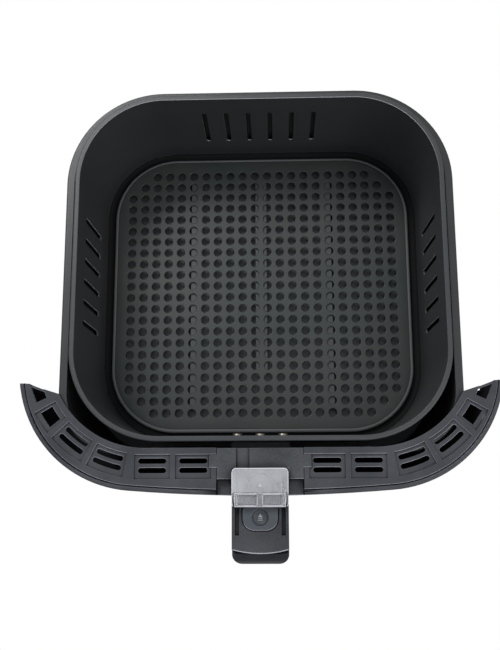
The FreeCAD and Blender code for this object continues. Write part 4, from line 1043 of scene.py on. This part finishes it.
@dataclass
class Fasteners:
    """Equal screws or rivets that stand where the plain ones of the CAD do.

    The cross and the rounding are shares of the head's radius and height. The cut shortens the shank.
    """

    node: str
    body: Body
    facing: Facing = Facing.REAR
    kind: Head = Head.CROSS
    head_radius: float = 3.4
    head_height: float = 1.5
    head_sides: int = 24
    head_round: float = 0.8
    head_steps: int = 4
    head_profile: float = 0.6
    shank_radius: float = 1.75
    shank_cut: float = 0.0
    cross_width: float = 0.28
    cross_reach: float = 0.45
    cross_height: float = 1.5
    smooth_to: float = 40.0

    def places(self) -> tuple[list[Vector], float]:
        """Find the fasteners of the CAD.

        Returns:
            Where each head meets its shank, and the shank's length in metres.
        """
        spots = []
        length = 0.0
        for points in shells(self.node):
            low = Vector(min(point[axis] for point in points) for axis in range(3))
            high = Vector(max(point[axis] for point in points) for axis in range(3))
            middle = (low + high) / 2
            if self.facing is Facing.REAR:
                middle.y = high.y - self.head_height * MM
                length = middle.y - low.y
            else:
                middle.z = low.z + self.head_height * MM
                length = high.z - middle.z
            spots.append(middle)
        return spots, length

    def upright(self, length: float) -> Piece:
        """One fastener on the origin, head up.

        Args:
            length: Length of its shank in metres.

        Returns:
            The fastener.
        """
        height = self.head_height * MM
        item = added(bpy.ops.mesh.primitive_cylinder_add, vertices=self.head_sides,
                     radius=self.head_radius * MM, depth=height, location=(0.0, 0.0, height / 2))
        settle(item)
        with editing(item):
            choose(item, "FACE", lambda face: face.normal.z < -FLAT)
            bpy.ops.mesh.inset(thickness=(self.head_radius - self.shank_radius) * MM)
            extrude(-length)
            choose(item, "EDGE", lambda ends: all(v.co.z > height - SLACK for v in ends))
            bpy.ops.mesh.bevel(offset=self.head_round * height, segments=self.head_steps, affect="EDGES",
                               profile=self.head_profile)
        if self.kind is Head.CROSS:
            self.recess(item)
        smooth(item, self.smooth_to)
        return item

    def recess(self, item: Piece) -> None:
        """Sink a cross for the driver into a screw's head.

        Args:
            item: Upright screw.
        """
        wide = self.cross_width * self.head_radius * MM
        reach = self.cross_reach * self.head_radius * MM
        height = self.head_height * MM
        cutter = added(bpy.ops.mesh.primitive_cube_add, size=wide, location=(0.0, 0.0, height))
        cutter.scale = (1.0, 1.0, self.cross_height * height / wide)
        settle(cutter)
        with editing(cutter):
            choose(cutter, "FACE", lambda face: abs(face.normal.z) < FLAT)
            bpy.ops.mesh.extrude_faces_move(TRANSFORM_OT_shrink_fatten={"value": reach})
        modify(item, "BOOLEAN", object=cutter, operation="DIFFERENCE", solver="EXACT")
        bpy.data.objects.remove(cutter)

    def build(self, material: Material) -> None:
        """Model one, copy it to each place and join the copies.

        Args:
            material: Metal of the fasteners.
        """
        spots, length = self.places()
        first = self.upright(length - self.shank_cut * MM)
        degrees, axis = self.facing.value
        first.data.transform(Matrix.Rotation(math.radians(degrees), 4, axis))
        items = [copy_of(first, self.node, spot) for spot in spots]
        bpy.data.objects.remove(first)
        finish_piece(joined(items, f"{self.node}_fine"), self.body, Slot.STEEL, material, self.node)


@dataclass(frozen=True)
class EjectSign:
    """Raised release sign: a triangle over one or two bars, sunk by a share of its relief."""

    width: float
    bars: int
    relief: float = 0.14
    sunk: float = 0.3
    bar_height: float = 0.42
    gap: float = 0.5
    chamfer: float = 0.08

    def build(self, name: str, place: Vector) -> Piece:
        """Model the sign on a level spot.

        Args:
            name: Name of the piece.
            place: Middle of the triangle's lower edge, on the face that carries the sign.

        Returns:
            The new piece, still without body and material.
        """
        radius = self.width / math.sqrt(3.0) * MM
        middle = (place.x, place.y + radius / 2, place.z)
        parts = [added(bpy.ops.mesh.primitive_circle_add, vertices=3, radius=radius, fill_type="NGON",
                       location=middle)]
        for number in range(self.bars):
            drop = (self.gap + self.bar_height / 2 + number * (self.gap + self.bar_height)) * MM
            middle = (place.x, place.y - drop, place.z)
            bar = added(bpy.ops.mesh.primitive_plane_add, size=1.0, location=middle)
            bar.scale = (self.width * MM, self.bar_height * MM, 1.0)
            parts.append(bar)
        for part in parts:
            settle(part)
        item = joined(parts, name)
        with editing(item):
            extrude(self.relief * MM)
            outward()
            choose(item, "FACE", lambda face: face.normal.z > FLAT)
            bpy.ops.mesh.inset(thickness=self.chamfer * MM)
        item.data.transform(Matrix.Translation((0.0, 0.0, -self.sunk * self.relief * MM)))
        return item


@dataclass
class PanGroup:
    """Pan, cover and the fixings that stay behind when the basket is lifted."""

    # Faces below this height, in millimetres, that face up at least this much get the pan floor's painted
    # light.
    floor_top: float = 6.0
    floor_tilt: float = 0.9
    tip: Triple = (135.8, -45.6, 87.1)
    tip_size: Triple = (10.0, 1.4, 1.6)
    tip_slant: float = 20.5
    tip_round: float = 0.25
    tip_steps: int = 2

    def build(self, steel: Material) -> None:
        """Dress the group's pieces.

        Args:
            steel: Metal of the screws and the keeper.
        """
        plastic = FRAME_PLASTIC.material()
        floor = self.floor_top * MM
        pan = carry("outer_pan", Body.PAN, Slot.PAN_COAT, PAN_COAT.material())
        # Painted light on the pan's floor under the basket.
        paint(pan, PAN_FLOOR_LIGHT_COAT.material(),
              lambda face: face.normal.z > self.floor_tilt and face.center.z < floor)
        for node in ("vent_frame", "front_panel"):
            carry(node, Body.PAN, Slot.FRAME, plastic)
        finish_piece(self.tip_bars(), Body.PAN, Slot.FRAME, plastic)
        carry("latch_keeper", Body.PAN, Slot.STEEL, steel)
        for node in ("pan_screws", "panel_screws", "keeper_screws"):
            Fasteners(node, Body.PAN).build(steel)

    def tip_bars(self) -> Piece:
        """Bars that close the end ports of the cover at the rear.

        Returns:
            Both bars as one piece, still without body and material.
        """
        bars = []
        across, along, up = (part * MM for part in self.tip)
        for side in SIDES:
            bar = added(bpy.ops.mesh.primitive_cube_add, size=1.0, location=(side * across, along, up),
                        rotation=(0.0, 0.0, side * math.radians(self.tip_slant)))
            bar.scale = [length * MM for length in self.tip_size]
            settle(bar)
            with editing(bar):
                bpy.ops.mesh.bevel(offset=self.tip_round * MM, segments=self.tip_steps, affect="EDGES")
            bars.append(bar)
        return fair(joined(bars, "tip_bars"))


@dataclass
class BasketGroup:
    """Basket wall, its floor and the bracket that is riveted to it."""

    # Faces below this height, in millimetres, that face up at least this much get the groove's painted
    # shade.
    groove_top: float = 4.6
    groove_tilt: float = 0.3
    rivet_radius: float = 3.2
    rivet_height: float = 1.6
    rivet_shank: float = 1.6
    rivet_tail: float = 1.8

    def build(self) -> None:
        """Dress the group's pieces."""
        groove = self.groove_top * MM
        basket = carry("basket", Body.BASKET, Slot.BASKET_COAT, BASKET_COAT.material())
        # Painted shade in the groove at the foot of the basket's wall.
        paint(basket, GROOVE_SHADE_COAT.material(),
              lambda face: face.normal.z > self.groove_tilt and face.center.z < groove)
        # The basket's floor gets the darker painted-shade copy of the coat.
        PerforatedFloor().build(FLOOR_SHADE_COAT.material())
        carry("handle_bracket", Body.BASKET, Slot.BASKET_COAT, BRACKET_COAT.material())
        rivets = Fasteners("bracket_rivets", Body.BASKET, kind=Head.RIVET, head_radius=self.rivet_radius,
                           head_height=self.rivet_height, shank_radius=self.rivet_shank,
                           shank_cut=self.rivet_tail)
        rivets.build(RIVET_STEEL.material())


@dataclass
class ReleaseButton:
    """Button with a painted highlight on its front edge, a finger dish in its top and the release sign in
    the dish.

    Each ring of the dish has its size as a share of the ring before, and its depth under that ring.
    """

    dimple_depth: float = 0.7
    dish_start: float = 0.12
    dish_rings: tuple[Pair, ...] = ((0.94, 0.45), (0.9, 0.55), (0.85, 0.42), (0.75, 0.2))
    # Front-edge faces outside this radius, within these upward tilts and leaning this much to the front, get
    # the painted highlight.
    dish_clear: float = 6.5
    edge_tilt: Pair = (0.35, 0.93)
    edge_front: float = 0.3
    sign: EjectSign = EjectSign(2.8, 2)

    def build(self, bright: Material) -> None:
        """Model the button and its sign.

        Args:
            bright: Material of the painted highlight on the front edge.
        """
        low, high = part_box("release_button")
        middle = (low + high) / 2
        bottom = high.z - self.dimple_depth * MM
        item = merged("release_button")
        with editing(item):
            choose(item, "FACE", lambda face: face.normal.z > FLAT and abs(face.center.z - bottom) < SLACK)
            bpy.ops.transform.translate(value=(0.0, 0.0, (self.dimple_depth - self.dish_start) * MM))
            for narrower, deep in self.dish_rings:
                extrude(-deep * MM)
                bpy.ops.transform.resize(value=(narrower, narrower, 1.0), center_override=middle)
        finish_piece(fair(item), Body.BUTTON, Slot.BUTTON, BUTTON_PLASTIC.material(), "release_button")
        least, most = self.edge_tilt
        # Painted highlight on the front edge's rounded faces, outside the dish.
        paint(item, bright, lambda face: least < face.normal.z < most and face.normal.y < -self.edge_front
              and (face.center - middle).xy.length > self.dish_clear * MM)
        depth = self.dish_start + sum(deep for _, deep in self.dish_rings)
        place = Vector((middle.x, middle.y, high.z - depth * MM))
        finish_piece(self.sign.build("button_sign", place), Body.BUTTON, Slot.BUTTON, SIGN_PRINT.material())


@dataclass
class SlideGuard:
    """Clear guard: plate with a raised rim, grip with pockets, and a sign under a raised arch.

    The tightness of a corner is its new radius as a share of the old one.
    """

    rim: float = 1.0
    sunk: float = 0.3
    plate: float = 1.8
    corner: float = 3.6
    grip: float = 8.0
    grip_height: float = 1.6
    pocket: float = 9.2
    pocket_reach: float = 13.3
    grip_tight: float = 0.25
    front_tight: float = 0.5
    rear_tight: float = 0.75
    sign: EjectSign = EjectSign(3.4, 1)
    sign_setback: float = 11.4
    arch_radius: float = 8.2
    arch_sides: int = 64
    arch_foot: float = 0.1
    arch_inner: float = 0.95
    arch_relief: float = 0.15
    arch_sunk: float = 0.05
    arch_chamfer: float = 0.05

    def build(self) -> None:
        """Model the guard with its sign and arch."""
        low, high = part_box("slide_guard")
        top = high.z - self.grip_height * MM
        back = low.y + (self.grip + self.sunk) * MM

        def level(face: bpy.types.MeshPolygon) -> bool:
            """Whether a face is part of the plate's upper side."""
            return face.normal.z > FLAT and abs(face.center.z - top) < SLACK

        item = merged("slide_guard")
        with editing(item):
            self.square_grip(item, low, high, top)
            choose(item, "FACE", level)
            bpy.ops.mesh.bisect(plane_co=(0.0, back, top), plane_no=FRONT)
            choose(item, "FACE", lambda face: level(face) and face.center.y > back)
            bpy.ops.mesh.inset(thickness=self.rim * MM, depth=-self.sunk * MM)
        finish_piece(fair(item), Body.GUARD, Slot.GUARD, GUARD_PLASTIC.material(), "slide_guard")
        place = Vector((0.0, low.y + self.sign_setback * MM, top - self.sunk * MM))
        mark = MARK_PLASTIC.material()
        finish_piece(self.sign.build("guard_sign", place), Body.GUARD, Slot.GUARD, mark)
        finish_piece(self.arch(place), Body.GUARD, Slot.GUARD, mark)

    def square_grip(self, item: Piece, low: Vector, high: Vector, top: float) -> None:
        """Widen the pockets of the guard's grip and sharpen the corners of grip and plate.

        Args:
            item: Merged guard in edit mode.
            low: Lowest corner of its box.
            high: Highest corner of its box.
            top: Height of the plate's upper face.
        """
        wall = (self.plate + self.pocket) * MM
        back = low.y + self.grip * MM
        grip = (top, high.z)
        plate = (top - self.plate * MM, top)
        for side in SIDES:
            choose(item, "VERT", lambda v: abs(v.co.x - side * wall) < SLACK and v.co.z > top - SLACK)
            bpy.ops.transform.translate(value=(side * (self.pocket_reach * MM - wall), 0.0, 0.0))
            outer = side * high.x
            inner = side * (high.x - self.plate * MM)
            self.tighten(item, Vector((inner, low.y)), Vector((-side, 1.0)), grip, self.grip_tight)
            self.tighten(item, Vector((inner, back)), Vector((-side, -1.0)), grip, self.grip_tight)
            self.tighten(item, Vector((outer, low.y)), Vector((-side, 1.0)), plate, self.front_tight)
            self.tighten(item, Vector((outer, high.y)), Vector((-side, -1.0)), plate, self.rear_tight)

    def tighten(self, item: Piece, corner: Vector, inward: Vector, heights: Pair, tight: float) -> None:
        """Give a rounded corner of the guard a smaller radius.

        Args:
            item: Merged guard in edit mode.
            corner: Point in plan that the corner rounds off.
            inward: Signs of the way in from that point.
            heights: Lowest and highest level of the corner.
            tight: New radius as a share of the old one.
        """
        radius = self.corner * MM
        middle = corner + inward * radius

        def on_arc(vertex: bpy.types.MeshVertex) -> bool:
            """Whether a vertex lies on the corner's arc."""
            away = vertex.co.xy - middle
            return (abs(away.length - radius) < SLACK and max(away.x * inward.x, away.y * inward.y) < SLACK
                    and heights[0] - SLACK < vertex.co.z < heights[1] + SLACK)

        choose(item, "VERT", on_arc)
        bpy.ops.transform.resize(value=(tight, tight, 1.0), center_override=(corner.x, corner.y, 0.0))

    def arch(self, place: Vector) -> Piece:
        """Raised half ring on the guard's plate.

        Args:
            place: Middle of the ring, on the plate.

        Returns:
            The half ring, still without body and material.
        """
        radius = self.arch_radius * MM
        inner = self.arch_inner
        item = added(bpy.ops.mesh.primitive_circle_add, vertices=self.arch_sides, radius=radius,
                     location=place)
        item.name = "guard_arch"
        settle(item)
        with editing(item):
            choose(item, "VERT", lambda v: v.co.y < place.y - self.arch_foot * radius)
            bpy.ops.mesh.delete(type="VERT")
            bpy.ops.mesh.select_all(action="SELECT")
            bpy.ops.mesh.extrude_edges_move()
            bpy.ops.transform.resize(value=(inner, inner, 1.0), center_override=place)
            bpy.ops.mesh.select_all(action="SELECT")
            extrude(self.arch_relief * MM)
            outward()
        item.data.transform(Matrix.Translation((0.0, 0.0, -self.arch_sunk * MM)))
        modify(item, "BEVEL", width=self.arch_chamfer * MM, segments=1, limit_method="ANGLE")
        return item


@dataclass
class HandleGroup:
    """Handle shells with their screws, and the button, latch, guard and spring in them."""

    # Depth in millimetres of the bow at the handle's front; in front of it the lower shell gets painted
    # shade and the upper shell's crease a painted highlight.
    bow: float = 4.0
    # Band under the crown, in millimetres, that gets the painted highlight along the crease.
    crease_drop: Pair = (0.1, 0.7)
    skirt_steps: Pair = (0.02, 0.07)
    spring_kept: float = 0.32

    def __post_init__(self) -> None:
        """Take from the CAD node where the handle's front ends and how far back its bow reaches."""
        self.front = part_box("handle_upper")[0].y
        self.bow_end = self.front + self.bow * MM

    def build(self, steel: Material) -> None:
        """Dress the group's pieces.

        Args:
            steel: Metal of the screws, the pin and the spring.
        """
        # Painted highlight for the handle's crease and the button's front edge.
        bright = CREASE_HIGHLIGHT_PLASTIC.material()
        self.upper(bright)
        lower = carry("handle_lower", Body.BASKET, Slot.HANDLE, LOWER_PLASTIC.material())
        # Painted shade on the nose in front of the bow.
        paint(lower, NOSE_SHADE_PLASTIC.material(), lambda face: face.center.y < self.bow_end)
        carry("handle_base", Body.BASKET, Slot.HANDLE, ROOT_PLASTIC.material())
        Fasteners("root_screws", Body.BASKET).build(steel)
        for node in ("base_screws", "handle_screws"):
            Fasteners(node, Body.BASKET, Facing.DOWN).build(steel)
        ReleaseButton().build(bright)
        carry("latch_lever", Body.LATCH, Slot.LATCH, LATCH_PLASTIC.material())
        SlideGuard().build()
        dress(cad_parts["latch_pin"], steel)
        spring = carry("button_spring", Body.BASKET, Slot.STEEL, steel)
        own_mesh(spring)

    def upper(self, bright: Material) -> None:
        """Upper shell, whose front wall slants forward down to the lower shell's shelf, with a painted
        highlight along its crease.

        Args:
            bright: Material of the painted highlight on the crease along the front.
        """
        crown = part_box("handle_upper")[1].z
        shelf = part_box("handle_lower")[1].z
        skirt = shelf + self.skirt_steps[1] * MM
        item = merged("handle_upper")
        with editing(item):
            for step in self.skirt_steps:
                bpy.ops.mesh.select_all(action="SELECT")
                bpy.ops.mesh.bisect(plane_co=(0.0, 0.0, shelf + step * MM), plane_no=UP)
            choose(item, "VERT", lambda v: abs(v.co.z - skirt) < SLACK and v.co.y < self.bow_end)
            bpy.ops.transform.resize(value=(1.0, 0.0, 1.0), center_override=(0.0, self.front, 0.0))
        finish_piece(fair(item), Body.BASKET, Slot.HANDLE, HANDLE_PLASTIC.material(), "handle_upper")
        # Painted highlight on the band of the crease along the front.
        first, last = (crown - drop * MM for drop in self.crease_drop)
        paint(item, bright, lambda face: last < face.center.z < first and face.center.y < self.bow_end)


@dataclass(frozen=True)
class Lamp:
    """Rectangular lamp; its place and its width and height in metres, its power in watts."""

    name: str
    place: Triple
    sizes: Pair
    power: float

    def build(self, aim: Triple) -> None:
        """Hang the lamp.

        Args:
            aim: Point that it lights.
        """
        data = bpy.data.lights.new(self.name, "AREA")
        data.shape = "RECTANGLE"
        data.size, data.size_y = self.sizes
        data.energy = self.power
        item = bpy.data.objects.new(self.name, data)
        item.location = self.place
        item.rotation_euler = (Vector(aim) - Vector(self.place)).to_track_quat("-Z", "Y").to_euler()
        bpy.context.scene.collection.objects.link(item)


KEY = Lamp("key", (-0.6, 0.9, 1.3), (0.6, 0.6), 12.5)
FILL = Lamp("fill", (0.9, -0.6, 1.2), (1.2, 1.2), 8.5)
STRIP = Lamp("strip", (0.0, -1.3, 0.55), (1.6, 0.08), 0.3)


@dataclass
class Studio:
    """Pale floor, soft lamps and the camera of the photograph.

    Places and the floor's size are in metres, turns in degrees, and the shadow's reach in millimetres.
    """

    lens: float = 47.08
    sensor: float = 36.0
    clip: float = 0.01
    camera_place: Triple = (0.0106, -0.11104, 0.60295)
    camera_turn: Triple = (11.4277, 1.7810, -0.5658)
    aim: Triple = (0.0, 0.0, 0.05)
    floor_size: float = 8.0
    floor_drop: float = 0.0005
    floor_grey: float = 0.45
    floor_rough: float = 0.9
    shadow_reach: float = 150.0
    shadow_fade: Pair = (0.22, 0.34)
    shadow_rays: int = 16
    sky_colour: Colour = (0.88, 0.92, 1.0)
    sky_fade: Pair = (0.0, 0.9)
    sky_levels: Pair = (0.12, 0.73)

    def camera(self) -> None:
        """Set the camera over the drawer."""
        data = bpy.data.cameras.new("camera")
        data.lens = self.lens
        data.sensor_width = self.sensor
        data.clip_start = self.clip
        item = bpy.data.objects.new("camera", data)
        turn = Matrix.Identity(4)
        for degrees, axis in zip(self.camera_turn, "XYZ"):
            turn = turn @ Matrix.Rotation(math.radians(degrees), 4, axis)
        item.matrix_world = Matrix.Translation(self.camera_place) @ turn
        bpy.context.scene.collection.objects.link(item)
        bpy.context.scene.camera = item

    @staticmethod
    def seen(graph: Graph) -> Value:
        """Mask of what the camera sees directly, in gloss or through something clear.

        Args:
            graph: Tree that gets the nodes.

        Returns:
            The mask.
        """
        kinds = ("Is Camera Ray", "Is Glossy Ray", "Is Transmission Ray")
        first, *others = (graph.node("ShaderNodeLightPath", {}, {}, kind) for kind in kinds)
        for other in others:
            first = first | other
        return first

    def floor(self) -> None:
        """Floor that the camera sees as white wherever the sky reaches it."""
        item = added(bpy.ops.mesh.primitive_plane_add, size=self.floor_size,
                     location=(0.0, 0.0, -self.floor_drop))
        item.name = "studio_floor"
        graph = Graph(bpy.data.materials.new("studio white"))
        grey = self.floor_grey
        graph.dress(Base_Color=(grey, grey, grey, 1.0), Roughness=self.floor_rough)
        glow = graph.node("ShaderNodeEmission", {}, {"Color": WHITE, "Strength": 1.0})
        mask = self.seen(graph) * graph.open_air(self.shadow_reach, self.shadow_fade, self.shadow_rays)
        graph.mix(1.0 - mask, glow)
        dress(item, graph.owner)

    def world(self) -> None:
        """Soft grey sky that the camera sees as white."""
        graph = Graph(bpy.data.worlds.new("studio sky"))
        seen = graph.node("ShaderNodeLightPath", {}, {}, "Is Camera Ray")
        white = graph.node("ShaderNodeBackground", {}, {"Color": WHITE, "Strength": 1.0})
        up = graph.dot(graph.node("ShaderNodeTexCoord", {}, {}, "Generated"), UP)
        level = graph.ramp(up, self.sky_fade, self.sky_levels)
        soft = graph.node("ShaderNodeBackground", {}, {"Color": (*self.sky_colour, 1.0), "Strength": level})
        graph.show(graph.node("ShaderNodeMixShader", {}, {0: seen, 1: soft, 2: white}))
        bpy.context.scene.world = graph.owner

    def build(self) -> None:
        """Set the whole studio."""
        self.camera()
        self.floor()
        self.world()
        for lamp in (KEY, FILL, STRIP):
            lamp.build(self.aim)
        bpy.context.scene.view_settings.view_transform = "Standard"


def main() -> None:
    """Build the drawer's looks and the studio round it."""
    logging.basicConfig(level=logging.INFO, format="%(name)s: %(message)s")
    steel = STEEL.material()
    PanGroup().build(steel)
    BasketGroup().build()
    HandleGroup().build(steel)
    Studio().build()


if __name__ == "__main__":
    main()
